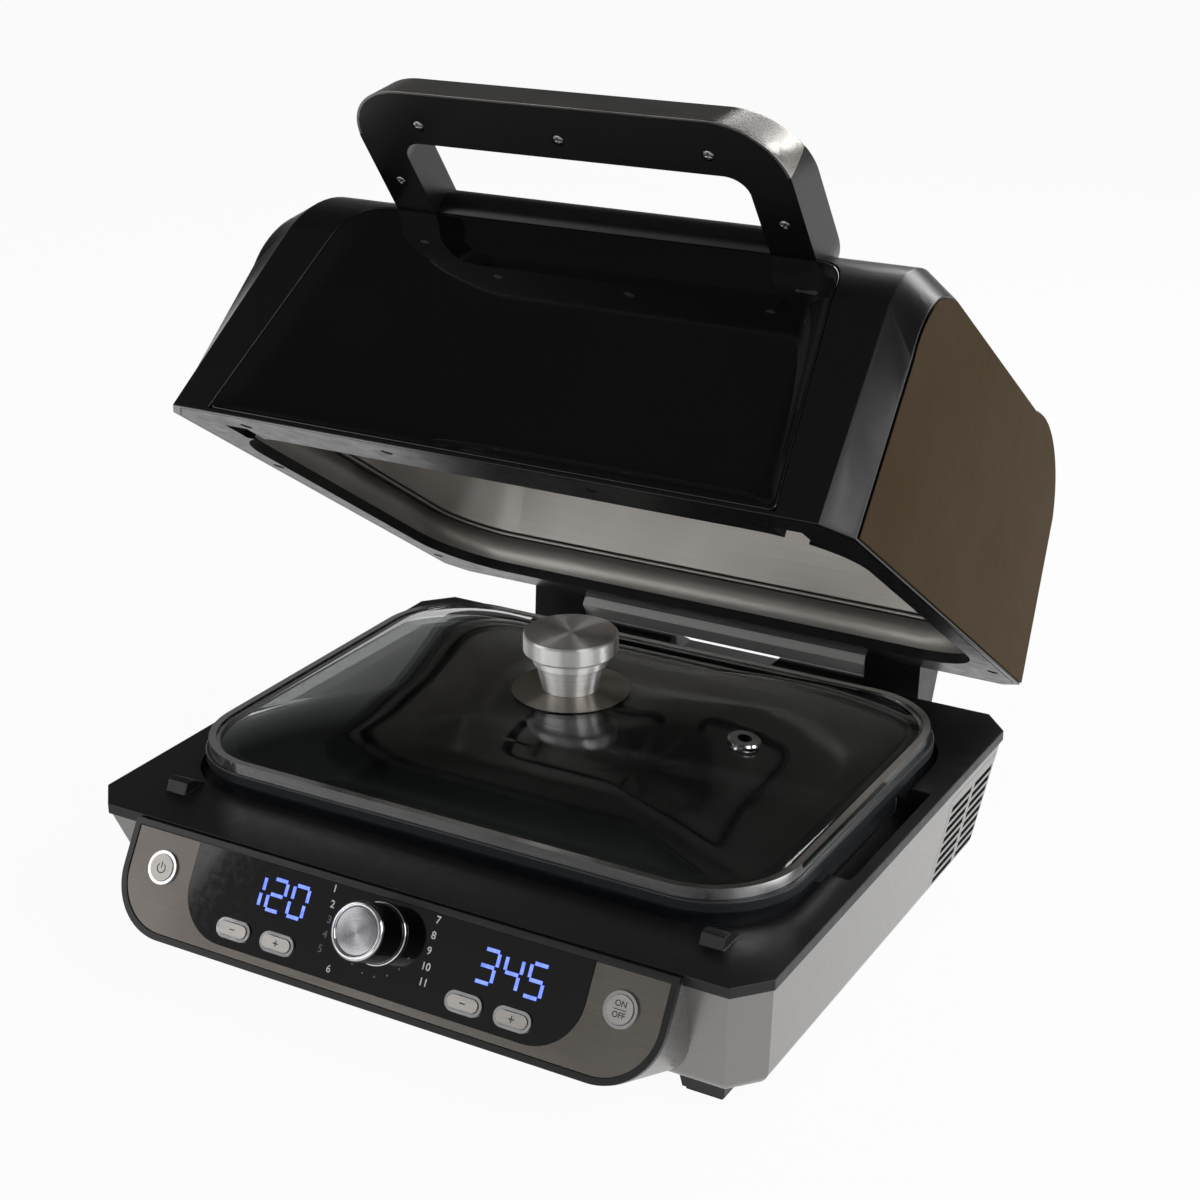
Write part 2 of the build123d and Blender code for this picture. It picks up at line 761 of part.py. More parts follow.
# Electrics inside the base
def make_base_electrics():
    floor = base_bottom + base_wall
    card_y = half_deck - 35
    card_back = card_y + 8
    board = box_between((-125, card_y, floor), (-45, card_y + 1.6, floor + 34))
    for x in (-118, -94, -68):
        board += box_between((x, card_y + 1.6, floor + 6), (x + 14, card_back, floor + 24))
    keep("power_board", board)
    wall = opening_middle + well_half_depth + well_wall
    stat = rod((70, wall, 55), (70, wall + 8, 55), 8) + box_between((66, wall + 8, 50), (74, wall + 12, 60))
    keep("thermostat", stat)
    inlet = rod((inlet_x, half_deck - 14, inlet_z), (inlet_x, half_deck + 5, inlet_z), inlet_radius)
    inlet += rod((inlet_x, half_deck - 3, inlet_z), (inlet_x, half_deck + 1, inlet_z), inlet_radius + 4)
    inlet -= rod((inlet_x, half_deck - 15, inlet_z), (inlet_x, half_deck + 6, inlet_z), 4)
    keep("mains_inlet", inlet)


# The hinge: a barrel housing behind the base, a steel shaft and the lid's two arms
def make_hinge():
    half_length = arm_inner - 0.8
    web_top = hinge_z + 8.5
    web = box_between((-half_length, half_deck - 6, hinge_z - 14), (half_length, hinge_y, web_top))
    housing = rod((-half_length, hinge_y, hinge_z), (half_length, hinge_y, hinge_z), barrel_radius)
    housing += web
    notch_top = hinge_z + barrel_radius + 1
    notch_low = hinge_z + barrel_radius - 6
    notch_points = [(-38, notch_top), (38, notch_top), (31, notch_low), (-31, notch_low)]
    notch_face = Face(Wire.make_polygon([(x, half_deck, z) for x, z in notch_points], close=True))
    housing -= extrude(notch_face, amount=60, dir=(0, 1, 0))
    housing -= rod((-120, hinge_y, hinge_z), (120, hinge_y, hinge_z), shaft_radius + shaft_gap)
    for x in (-housing_screw_x, housing_screw_x):
        housing -= rod((x, half_deck - 8, hinge_z), (x, half_deck + 8, hinge_z), screw_radius + fit_gap)
    housing -= base_outer
    housing -= box_between((-half_length, 0, deck_underside - fit_gap), (half_length, half_deck + fit_gap, 120))
    keep("hinge_housing", housing.solids().sort_by(lambda solid: solid.volume)[-1])
    shaft_end = arm_outer - 4
    shaft = rod((-shaft_end, hinge_y, hinge_z), (shaft_end, hinge_y, hinge_z), shaft_radius)
    keep("hinge_shaft", shaft)
    screws = [rod((x, y, base_bottom + 0.6), (x, y, base_bottom + 4.5), 3) for x, y in floor_screw_places]
    for x in (-housing_screw_x, housing_screw_x):
        head = rod((x, half_deck - 11, hinge_z), (x, half_deck - 7, hinge_z), 4)
        screws.append(head + rod((x, half_deck - 7, hinge_z), (x, half_deck + 6, hinge_z), screw_radius))
    keep("base_screws", *screws)

    arm_radius = 12.0
    top = deck_height + 21
    seat_y = half_deck + 0.1
    profile = [
        (seat_y, deck_height + 0.5), (seat_y, top), (hinge_y - 1, top), (hinge_y + 4.5, top - 5),
        (hinge_y + arm_radius, hinge_z), (hinge_y - arm_radius, hinge_z - 1),
    ]
    arm = side_prism(profile, arm_inner, arm_outer)
    arm += rod((arm_inner, hinge_y, hinge_z), (arm_outer, hinge_y, hinge_z), arm_radius)
    arm -= rod((arm_inner - 1, hinge_y, hinge_z), (arm_outer - 3, hinge_y, hinge_z), shaft_radius + shaft_gap)
    bridge = box_between((-arm_inner, seat_y, deck_height + 1), (arm_inner, hinge_y - 4, top))
    keep_on_lid("lid_hinge_arm", both_sides(arm).solids()[0] + both_sides(arm).solids()[1] + bridge)
    trough_front = half_deck + 2
    trough_low = deck_height - 10
    trough = side_prism(
        [
            (trough_front, deck_height + 0.8), (trough_front + 0.6, deck_height - 5), (trough_front + 10, trough_low),
            (trough_front + 10.6, trough_low + 1.6), (trough_front + 3.6, deck_height - 2.8),
            (trough_front + 3.2, deck_height + 0.8),
        ],
        -arm_inner + fit_gap, arm_inner - fit_gap,
    )
    keep_on_lid("hinge_trough", trough)


# The lid, drawn closed: three faces across the front and chamfer strips beside flat sides
lid_base = deck_height + 0.3


def lid_section(across, profile):
    """One closed outline of the lid in a plane that leans inwards as it rises."""
    front_low, front_high, front_mid, front_top, back_top, back_mid, back_high, back_low = [
        Vector(across(z), y, deck_height + z) for y, z in profile
    ]
    edges = [
        Edge.make_line(back_low, front_low),
        Edge.make_line(front_low, front_high),
        Edge.make_three_point_arc(front_high, front_mid, front_top),
        Edge.make_line(front_top, back_top),
        Edge.make_three_point_arc(back_top, back_mid, back_high),
        Edge.make_line(back_high, back_low),
    ]
    return Wire(edges)


def ridge_profile(inset, low):
    """The lid's outline along the inner ridge, where front and top meet the chamfer strip."""
    lean = 0.305
    front_edge = 0.4 - half_deck + inset * 1.05
    top = lid_height - inset
    back = half_deck - 0.2 - inset
    bend = inset * 0.7
    return [
        (front_edge + lean * low, low), (front_edge + lean * (lid_height - 36), lid_height - 36 - inset * 0.3),
        (50.1 - half_deck + bend, lid_height - 15.5 - bend), (79.1 - half_deck + inset * 0.3, top),
        (half_deck - 42.1 - inset * 0.3, top), (half_deck - 13.6 - bend, lid_height - 11.5 - bend),
        (half_deck - 2.1 - inset, lid_height - 40 - inset * 0.3), (back, low),
    ]


def side_profile(inset, low):
    """The lid's outline along the outer ridge, where the chamfer strip meets the side."""
    lean = 0.221
    front_edge = 17.8 - half_deck + inset * 1.05
    top = lid_height - 12.5 - inset
    back = half_deck - 11.5 - inset
    bend = inset * 0.7
    return [
        (front_edge + lean * low, low), (front_edge + lean * (lid_height - 59), lid_height - 59 - inset * 0.3),
        (50.6 - half_deck + bend, lid_height - 28.5 - bend), (81.1 - half_deck + inset * 0.3, top),
        (half_deck - 89.1 - inset * 0.3, top), (half_deck - 35.1 - bend, lid_height - 24 - bend),
        (half_deck - 16.1 - inset, lid_height - 54 - inset * 0.3), (back, low),
    ]


def lid_body(inset, low=0.3):
    """The lid's whole outer form, drawn in by an inset for its hollow."""
    outer_x = half_width - side_panel_thickness - inset
    inner_x = half_width - 14 - inset
    outer = [lambda z, s=s: s * (outer_x - 0.055 * z) for s in (-1, 1)]
    inner = [lambda z, s=s: s * (inner_x - 0.085 * z) for s in (-1, 1)]
    wires = [
        lid_section(outer[0], side_profile(inset, low)),
        lid_section(inner[0], ridge_profile(inset, low)),
        lid_section(inner[1], ridge_profile(inset, low)),
        lid_section(outer[1], side_profile(inset, low)),
    ]
    return Solid.make_loft(wires, ruled=True)


lid_outer = lid_body(0)
lid_inner = lid_body(lid_wall, low=-1.0)


dish_depth = 4.5
dish_wall = 3.0
front_panel_margin = 36.5
front_panel_lean = 20.5
front_panel_drop = 10.0
front_panel_radius = 20.0


def front_panel_prism(inset):
    """The glossy panel's outline, seen square on, carried back through the lid's front."""
    low = deck_height + 3 + inset
    side_low = half_width - front_panel_margin - inset
    side_high = side_low - front_panel_lean
    top = deck_height + lid_height - front_panel_drop - inset
    points = [(-side_low, low), (side_low, low), (side_high, top), (-side_high, top)]
    face = Face(Wire.make_polygon([(x, -half_deck - 20, z) for x, z in points], close=True))
    corners = face.vertices().group_by(Axis.Z)[-1]
    outline = fillet(corners, front_panel_radius - inset / 2)
    return extrude(outline, amount=half_deck - 40, dir=(0, 1, 0))


def make_lid_shell():
    shell = lid_outer - lid_inner - front_panel_prism(-fit_gap)
    keep_on_lid("lid_shell", shell)
    panel_back = lid_body(dish_depth + dish_wall, low=-1.0)
    dish_floor = lid_body(dish_depth, low=-1.0)
    panel = (lid_outer - panel_back) & front_panel_prism(0)
    dish = (lid_outer - dish_floor) & front_panel_prism(10)
    panel = panel - dish
    keep_on_lid("lid_front_panel", panel)
    section = lid_section(lambda z: half_width - side_panel_thickness - 0.055 * z, side_profile(1.0, 1.5))
    plate = extrude(Face(section), amount=side_panel_thickness, dir=(1, 0, 0.055))
    keep_on_lid("lid_side_panels", both_sides(plate))


# What the lid carries inside: rim, collar, seal, steel liner, element, fan and motor
lid_opening_middle = (lid_opening_front + lid_opening_back) / 2
lid_opening_half_depth = (lid_opening_back - lid_opening_front) / 2
collar_wall = 2.0
liner_wall = 1.0
liner_lip_inset = lid_opening_half_width - liner_half_width
gasket_height = 1.2
liner_low = deck_height + collar_top + gasket_height
liner_high = deck_height + liner_top
upper_element_z = liner_high - 20.0
upper_element_end_x = 20.0
upper_element_back = 80.0
motor_low = liner_high + 11.0
motor_height = 29.0
rim_side_x = half_width - 11
rim_front_y = 19.1 - half_deck
rim_screw_places = (
    (rim_side_x, half_deck - 37.1), (150.0, rim_front_y), (60.0, rim_front_y), (rim_side_x, 109.1 - half_deck),
)


def lid_opening_slab(growth, low, high, taper=0.0):
    return rounded_slab(
        lid_opening_half_width + growth, lid_opening_half_depth + growth, lid_opening_middle,
        lid_opening_radius + growth, low, high, taper,
    )


def make_lid_rim():
    rim_high = lid_base + lid_rim_height
    band = box_between((-deck_width, -deck_depth, lid_base), (deck_width, deck_depth, rim_high))
    rim = (lid_body(lid_wall + fit_gap, low=-1.0) & band) - lid_opening_slab(0, lid_base - 1, rim_high + 1)
    pocket = box_between(
        (nub_inner - 1, nub_front - 1.5, lid_base - 1), (nub_outer + 1, nub_back + 3, rim_high + 1),
    )
    panel_zone = (lid_outer - lid_body(dish_depth + dish_wall + fit_gap, low=-1.0)) & front_panel_prism(-fit_gap)
    rim = rim - pocket - mirror(pocket, about=Plane.YZ) - panel_zone
    for x, y in rim_screw_places:
        hole = rod((x, y, lid_base - 1), (x, y, rim_high + 1), 3 + fit_gap)
        rim = rim - hole - mirror(hole, about=Plane.YZ)
    keep_on_lid("lid_rim", rim)

    lip_low = liner_low - gasket_height - 1.5
    lip_high = liner_low - gasket_height
    collar = lid_opening_slab(collar_wall, rim_high, lip_high) - lid_opening_slab(0, rim_high - 1, lip_low)
    collar -= lid_opening_slab(-liner_lip_inset + 1, lip_low - 1, lip_high + 1)
    keep_on_lid("lid_collar", collar)
    gasket = lid_opening_slab(collar_wall, lip_high, liner_low) - lid_opening_slab(
        -liner_lip_inset + 1, lip_high - 1, liner_low + 1,
    )
    keep_on_lid("lid_gasket", gasket)
    clip_x = lid_opening_half_width
    bracket = box_between((clip_x - 2.2, -38, rim_high + 1), (clip_x, 50, rim_high + 12))
    wire = FilletPolyline(
        (clip_x - 2.2, -15, rim_high + 9), (clip_x - 5, -15, rim_high + 9),
        (clip_x - 5, 35, rim_high + 9), (clip_x - 2.2, 35, rim_high + 9), radius=1.2,
    )
    hoop = sweep(Plane(origin=wire @ 0, z_dir=wire % 0) * Circle(0.9), path=wire)
    keep_on_lid("retaining_clip", bracket + hoop)


def liner_bowl(growth, low, high):
    outline = Pos(0, lid_opening_middle, low) * RectangleRounded(
        2 * (liner_half_width + growth), 2 * (lid_opening_half_depth - liner_lip_inset + growth), 40 + growth,
    )
    bowl = extrude(outline.face(), amount=high - low, dir=(0, 0, 1), taper=liner_draft)
    top_edges = bowl.faces().sort_by(Axis.Z)[-1].edges()
    return fillet(top_edges, 18 + growth)


def make_liner():
    liner = lid_opening_slab(collar_wall, liner_low, liner_low + liner_wall)
    liner += liner_bowl(0, liner_low, liner_high)
    liner -= liner_bowl(-liner_wall, liner_low - 0.01, liner_high - liner_wall)
    liner -= rod((0, 0, liner_high - 10), (0, 0, liner_high + 5), 6)
    for x in (-upper_element_end_x, upper_element_end_x):
        liner -= rod(
            (x, upper_element_back, liner_high - 10), (x, upper_element_back, liner_high + 5),
            element_radius + fit_gap,
        )
    keep_on_lid("lid_liner", liner)


def make_upper_element():
    terminal = liner_high + 12
    side_run = 110.0
    front_run = -70.0
    z = upper_element_z
    points = [
        (-upper_element_end_x, upper_element_back, terminal), (-upper_element_end_x, upper_element_back, z),
        (-side_run, upper_element_back, z), (-side_run, front_run, z), (side_run, front_run, z),
        (side_run, upper_element_back, z), (upper_element_end_x, upper_element_back, z),
        (upper_element_end_x, upper_element_back, terminal),
    ]
    keep_on_lid("upper_heating_element", tube_path(points, 14))
    clip_low = z - element_radius - 1.2
    clips = []
    for y in (-30, 40):
        clip = box_between((side_run - 5, y - 3, clip_low), (side_run + 5, y + 3, liner_high - liner_wall))
        clip -= rod((side_run, y - 4, z), (side_run, y + 4, z), element_radius + fit_gap)
        clips.append(both_sides(clip))
    keep_on_lid("element_clips", *clips)


def make_fan():
    hub_low = liner_high - 10
    hub_high = liner_high - 3
    fan = rod((0, 0, hub_low), (0, 0, hub_high), 12)
    for blade in range(fan_blades):
        vane = box_between((8, -1, hub_low + 0.5), (fan_radius, 1, hub_high - 0.5))
        fan += Rot(0, 0, blade * 360 / fan_blades) * vane
    fan += rod((0, 0, hub_low + 2), (0, 0, motor_low + 15), 3)
    keep_on_lid("fan_impeller", fan)
    guard_low = liner_high - 15
    guard_high = guard_low + 1.2
    guard_radius = fan_radius + 14
    guard = rod((0, 0, guard_low), (0, 0, guard_high), guard_radius)
    slot = Pos(43, 0, guard_low - 1) * extrude(RectangleRounded(46, 7, 3.4), amount=4)
    for index in range(14):
        guard -= Rot(0, 0, index * 360 / 14) * slot
    for corner in range(4):
        angle = math.radians(45 + 90 * corner)
        x = (guard_radius - 5) * math.cos(angle)
        y = (guard_radius - 5) * math.sin(angle)
        guard += rod((x, y, guard_low), (x, y, liner_high - liner_wall), 2.5)
    keep_on_lid("fan_guard", guard)
    plate_half_x = 70.0
    plate_half_y = 55.0
    shield = box_between(
        (-plate_half_x, -plate_half_y, motor_low - 1.2), (plate_half_x, plate_half_y, motor_low),
    )
    for x in (-plate_half_x + 8, plate_half_x - 8):
        for y in (-plate_half_y + 8, plate_half_y - 8):
            shield += rod((x, y, liner_high), (x, y, motor_low), 4)
    shield -= rod((0, 0, liner_high), (0, 0, motor_low + 1), 6)
    keep_on_lid("heat_shield", shield)
    motor = rod((0, 0, motor_low), (0, 0, motor_low + motor_height), 28)
    motor += box_between((-40, -8, motor_low), (40, 8, motor_low + 3))
    motor -= rod((0, 0, motor_low - 1), (0, 0, motor_low + 17), 3 + fit_gap)
    keep_on_lid("fan_motor", motor)


# The handle: a wide loop that stands forward of the lid's top edge
handle_origin = (0, -half_deck - handle_forward, deck_height + lid_height + handle_rise)
handle_plane = Plane(origin=handle_origin, x_dir=(1, 0, 0), z_dir=(0, 0.347, 0.938))
leg_run = 110.0
cover_thickness = 3.0
band_end = -10.0
handle_screw_places = ((0.0, 0.0), (-83.5, 0.0), (83.5, 0.0), (-113.1, -43.7), (113.1, -43.7))


def handle_outline(half_width, top, depth, radius):
    """A rounded outline in the handle's plane; local Y runs down towards the lid."""
    outline = Pos(0, (leg_run - top) / 2, depth) * RectangleRounded(2 * half_width, leg_run + top, radius)
    return outline.wire()


def handle_loft(inset):
    front = handle_outline(handle_half_width - inset, handle_top - inset, 0, handle_radius - inset)
    back = handle_outline(
        handle_half_width + 2 - inset, handle_top - 12 - inset, handle_depth, handle_radius - inset,
    )
    return handle_plane * Solid.make_loft([front, back], ruled=True)


def grip_prism(growth):
    length = leg_run + 60
    outline = Pos(0, length / 2 - grip_top - growth, -20) * RectangleRounded(
        2 * (grip_half_width + growth), length, grip_radius + growth,
    )
    return handle_plane * extrude(outline, amount=handle_depth + 60)


def handle_layer(low, high):
    layer = Pos(0, 0, (low + high) / 2) * Box(400, 400, high - low)
    return handle_plane * layer


def make_handle():
    loop = handle_loft(0) - grip_prism(0) - lid_outer
    cover_inset = band_thickness + 0.1
    cover = (handle_loft(cover_inset) & handle_layer(-1, cover_thickness)) - grip_prism(1.2) - lid_outer
    skin = (handle_loft(0) - handle_loft(band_thickness)) & handle_layer(-1, handle_depth + 1)
    far_half = handle_plane * (Pos(0, 200 - band_end, 0) * Box(600, 400, 200))
    band = skin - far_half
    rail_y = rail_back - half_deck
    rail_z = deck_height + lid_height - rail_drop
    rail_end = grip_half_width + 6
    rail = rod((-rail_end, rail_y, rail_z), (rail_end, rail_y, rail_z), rail_radius) - lid_outer
    back = loop + rail - cover - band
    screws = []
    for x, y in rim_screw_places:
        screws.append(both_sides(rod((x, y, lid_base + 0.5), (x, y, lid_base + lid_rim_height), 3)))
    for x, w in handle_screw_places:
        cover -= handle_plane * (Pos(x, -w, 0) * Cylinder(3.5, 8))
        back -= handle_plane * (Pos(x, -w, 6) * Cylinder(1.8, 18))
        back -= handle_plane * (Pos(x, -w, 0) * Cylinder(3.5, 2 * cover_thickness))
        head = handle_plane * (Pos(x, -w, 1.9) * Cylinder(3.2, 2.2))
        shank = handle_plane * (Pos(x, -w, 8) * Cylinder(1.5, 12))
        screws.append(head + shank)
    biggest = back.solids().sort_by(lambda solid: solid.volume)[-1]
    keep_on_lid("handle_cover", cover)
    keep_on_lid("handle_band", band)
    keep_on_lid("handle_back", biggest)
    keep_on_lid("lid_screws", *screws)


for make in (
    make_base_shell, make_vent_panels, make_deck_cover, make_feet, make_cooking_well, make_lower_element,
    make_pot, make_glass_lid, make_panel_housing, make_panel_face, make_display, make_buttons, make_dial,
    make_control_board, make_base_electrics, make_hinge, make_lid_shell, make_lid_rim, make_liner,
    make_upper_element, make_fan, make_handle,
):
    make()

# The origin is on the table under the middle of the whole object with its lid open
whole = Compound([solid for solids in nodes.values() for solid in solids]).bounding_box()
shift = Location((-(whole.min.X + whole.max.X) / 2, -(whole.min.Y + whole.max.Y) / 2, -whole.min.Z))
print("shift", shift.position.X, shift.position.Y, shift.position.Z)
print("hinge axis", hinge_y + shift.position.Y, hinge_z + shift.position.Z)
for name, solids in nodes.items():
    export_step(Compound([solid.moved(shift) for solid in solids]), "parts/" + name + ".step")
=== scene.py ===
"""Looks for a countertop air fryer grill: finishes, softened casings and fine detail over its frame."""
import json
import math

import bmesh
import bpy
from mathutils import Matrix, Vector

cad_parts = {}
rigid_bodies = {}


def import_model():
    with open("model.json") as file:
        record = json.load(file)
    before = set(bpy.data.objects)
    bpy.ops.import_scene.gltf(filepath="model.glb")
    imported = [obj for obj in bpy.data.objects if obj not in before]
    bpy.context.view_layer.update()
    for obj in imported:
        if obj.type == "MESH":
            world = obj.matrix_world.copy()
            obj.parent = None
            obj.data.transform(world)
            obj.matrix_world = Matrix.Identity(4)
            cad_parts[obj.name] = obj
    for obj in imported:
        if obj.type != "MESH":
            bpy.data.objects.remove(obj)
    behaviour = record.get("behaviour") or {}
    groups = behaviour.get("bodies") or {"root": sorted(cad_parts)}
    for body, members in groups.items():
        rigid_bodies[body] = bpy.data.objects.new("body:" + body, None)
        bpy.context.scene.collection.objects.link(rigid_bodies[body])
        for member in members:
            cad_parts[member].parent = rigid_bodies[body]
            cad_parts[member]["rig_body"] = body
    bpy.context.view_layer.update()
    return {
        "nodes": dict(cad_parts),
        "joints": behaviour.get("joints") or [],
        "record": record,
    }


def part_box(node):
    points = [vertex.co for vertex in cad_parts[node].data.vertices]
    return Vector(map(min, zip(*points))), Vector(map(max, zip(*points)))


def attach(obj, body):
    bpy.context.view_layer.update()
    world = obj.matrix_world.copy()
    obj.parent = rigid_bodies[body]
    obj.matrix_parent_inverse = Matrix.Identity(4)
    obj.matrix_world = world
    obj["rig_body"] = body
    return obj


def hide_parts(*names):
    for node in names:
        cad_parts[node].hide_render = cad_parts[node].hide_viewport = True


bl_info = {
    "name": "Air Fryer Grill Looks",
    "version": (1, 0, 0),
    "blender": (4, 5, 0),
    "location": "View3D > Sidebar > Grill",
    "description": "Finishes and fine detail for a countertop grill with a hinged lid",
    "category": "Object",
}

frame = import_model()
node_slots = {entry["node"]: entry["material_slot"] for entry in frame["record"]["subparts"]}
joints = {joint["name"]: joint for joint in frame["joints"]}
MM = 0.001

# Places that the pieces start from, read from the frame where it holds them
deck_low, deck_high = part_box("deck_cover")
shell_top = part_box("base_shell")[1].z
cover_thickness = 6 * MM
deck_middle = Vector((0, (deck_low.y + deck_high.y) / 2, shell_top + cover_thickness))
hinge_point = Vector(joints["lid_hinge"]["pos_m"])
open_angle = math.radians(joints["lid_hinge"]["range_deg"][0])
opening_turn = Matrix.Rotation(open_angle, 4, "X")
opening_turn = Matrix.Translation(hinge_point) @ opening_turn @ Matrix.Translation(-hinge_point)
lid_turn = opening_turn @ Matrix.Translation(deck_middle)
panel_lean = math.radians(31.1)
panel_down = Vector((0, -math.sin(panel_lean), -math.cos(panel_lean)))
panel_out = Vector((0, -math.cos(panel_lean), math.sin(panel_lean)))


# Colour and nodes. A Mix of colours has its share at input 0, the colours at 6 and 7, its result at 2
def linear(colour):
    """A hex colour as a screen shows it, turned to the linear values that a shader takes."""
    channels = [int(colour[start:start + 2], 16) / 255 for start in (1, 3, 5)]
    curve = [c / 12.92 if c <= 0.04045 else ((c + 0.055) / 1.055) ** 2.4 for c in channels]
    return (*curve, 1.0)


def add(tree, kind, inputs=None, out=0, **settings):
    """Adds one shader node with its settings, sets or links its inputs and gives back one of its outputs."""
    node = tree.nodes.new("ShaderNode" + kind)
    for name, value in settings.items():
        setattr(node, name, value)
    for socket, value in (inputs or {}).items():
        if isinstance(value, bpy.types.NodeSocket):
            tree.links.new(value, node.inputs[socket])
        else:
            node.inputs[socket].default_value = value
    return node.outputs[out] if node.outputs else None


# Most of a noise texture's values lie in this span
noise_span = {"From Min": 0.3, "From Max": 0.7}


def blank_material(name):
    """An empty material, its tree and a place on the surface in mm."""
    material = bpy.data.materials.new(name)
    material.use_nodes = True
    tree = material.node_tree
    tree.nodes.clear()
    place = add(tree, "VectorMath", {
        0: add(tree, "TexCoord", out="Object"), "Scale": 1 / MM}, operation="SCALE")
    return material, tree, place


def moulded_plastic(
        name, dark, light, roughness, grain_mm=0.5, grain_depth=0.2, metallic=0.0, coat=0.0, marks=0.05):
    """Moulded ABS: spark-eroded grain spreads the highlight, and handling leaves faint cloudy marks."""
    material, tree, place = blank_material(name)
    cloud_mm = 38.0
    smear_mm = 9.0
    grain = add(tree, "TexNoise", {"Vector": place, "Scale": 1 / grain_mm, "Detail": 3.0, "Roughness": 0.6})
    cloud = add(tree, "TexNoise", {"Vector": place, "Scale": 1 / cloud_mm, "Detail": 4.0, "Roughness": 0.55})
    smear = add(tree, "TexNoise", {"Vector": place, "Scale": 1 / smear_mm, "Detail": 5.0, "Distortion": 0.6})
    colour = add(tree, "Mix", {0: cloud, 6: dark, 7: light}, out=2, data_type="RGBA")
    worn = add(tree, "MapRange", {
        "Value": smear, **noise_span, "To Min": roughness - marks, "To Max": roughness + marks})
    relief = add(tree, "Bump", {"Height": grain, "Strength": grain_depth, "Distance": 0.05 * MM})
    surface = add(tree, "BsdfPrincipled", {
        "Base Color": colour, "Roughness": worn, "Normal": relief, "Metallic": metallic, "IOR": 1.5,
        "Coat Weight": coat, "Coat Roughness": 0.15})
    add(tree, "OutputMaterial", {"Surface": surface})


def gloss_plastic(name, dark, light, roughness=0.05):
    """Polished piano-black ABS: close to a mirror, slightly wavy, with a thin veil of dust and wiping."""
    material, tree, place = blank_material(name)
    cloud_mm = 60.0
    dust_mm = 4.0
    wave_mm = 45.0
    cloud = add(tree, "TexNoise", {"Vector": place, "Scale": 1 / cloud_mm, "Detail": 3.0})
    dust = add(tree, "TexNoise", {"Vector": place, "Scale": 1 / dust_mm, "Detail": 6.0, "Roughness": 0.7})
    wave = add(tree, "TexNoise", {"Vector": place, "Scale": 1 / wave_mm, "Detail": 1.0})
    colour = add(tree, "Mix", {0: cloud, 6: dark, 7: light}, out=2, data_type="RGBA")
    veil = add(tree, "MapRange", {
        "Value": dust, "From Min": 0.45, "From Max": 0.75, "To Min": roughness, "To Max": roughness + 0.08})
    relief = add(tree, "Bump", {"Height": wave, "Strength": 0.03, "Distance": 1 * MM})
    surface = add(tree, "BsdfPrincipled", {
        "Base Color": colour, "Roughness": veil, "Normal": relief, "IOR": 1.5})
    add(tree, "OutputMaterial", {"Surface": surface})


def brushed_metal(
        name, dark, light, along, roughness=0.3, line_mm=0.4, run_mm=45.0, metallic=1.0,
        edge_tint=(1, 1, 1, 1)):
    """Sheet metal brushed one way: long fine lines, which draw a highlight out across them."""
    material, tree, place = blank_material(name)
    broad_mm = 70.0
    stretch = [1 / line_mm] * 3
    stretch["XYZ".index(along)] = 1 / run_mm
    lines = add(tree, "TexNoise", {
        "Vector": add(tree, "VectorMath", {0: place, 1: stretch}, operation="MULTIPLY"),
        "Scale": 1.0, "Detail": 4.0, "Roughness": 0.65})
    broad = add(tree, "TexNoise", {"Vector": place, "Scale": 1 / broad_mm, "Detail": 2.0})
    shade = add(tree, "Math", {0: lines, 1: broad}, operation="ADD")
    spread = add(tree, "MapRange", {"Value": shade, "From Min": 0.75, "From Max": 1.25})
    colour = add(tree, "Mix", {0: spread, 6: dark, 7: light}, out=2, data_type="RGBA")
    rough = add(tree, "MapRange", {
        "Value": lines, **noise_span, "To Min": roughness - 0.05, "To Max": roughness + 0.07})
    relief = add(tree, "Bump", {"Height": lines, "Strength": 0.1, "Distance": 0.02 * MM})
    surface = add(tree, "BsdfPrincipled", {
        "Base Color": colour, "Roughness": rough, "Normal": relief, "Metallic": metallic, "Anisotropic": 0.6,
        "Specular Tint": edge_tint,
        "Tangent": add(tree, "Tangent", direction_type="RADIAL", axis=along)})
    add(tree, "OutputMaterial", {"Surface": surface})


def turned_metal(name, dark, light, middle, axle, roughness):
    """Metal faced on a lathe: fine rings round its axle, whose highlight fans out from the middle."""
    material, tree, place = blank_material(name)
    ring_mm = 0.35
    from_middle = add(tree, "VectorMath", {0: place, 1: middle / MM}, operation="SUBTRACT")
    around = add(tree, "VectorMath", {0: axle, 1: from_middle}, operation="CROSS_PRODUCT")
    reach = add(tree, "VectorMath", {0: around}, out="Value", operation="LENGTH")
    along = add(tree, "Math", {0: reach, 1: 1 / ring_mm}, operation="MULTIPLY")
    rings = add(tree, "TexNoise", {"W": along, "Scale": 1.0, "Detail": 3.0}, noise_dimensions="1D")
    colour = add(tree, "Mix", {0: rings, 6: dark, 7: light}, out=2, data_type="RGBA")
    rough = add(tree, "MapRange", {
        "Value": rings, **noise_span, "To Min": roughness - 0.05, "To Max": roughness + 0.08})
    relief = add(tree, "Bump", {"Height": rings, "Strength": 0.15, "Distance": 0.02 * MM})
    surface = add(tree, "BsdfPrincipled", {
        "Base Color": colour, "Roughness": rough, "Normal": relief, "Metallic": 1.0, "Anisotropic": 0.95,
        "Tangent": from_middle})
    add(tree, "OutputMaterial", {"Surface": surface})


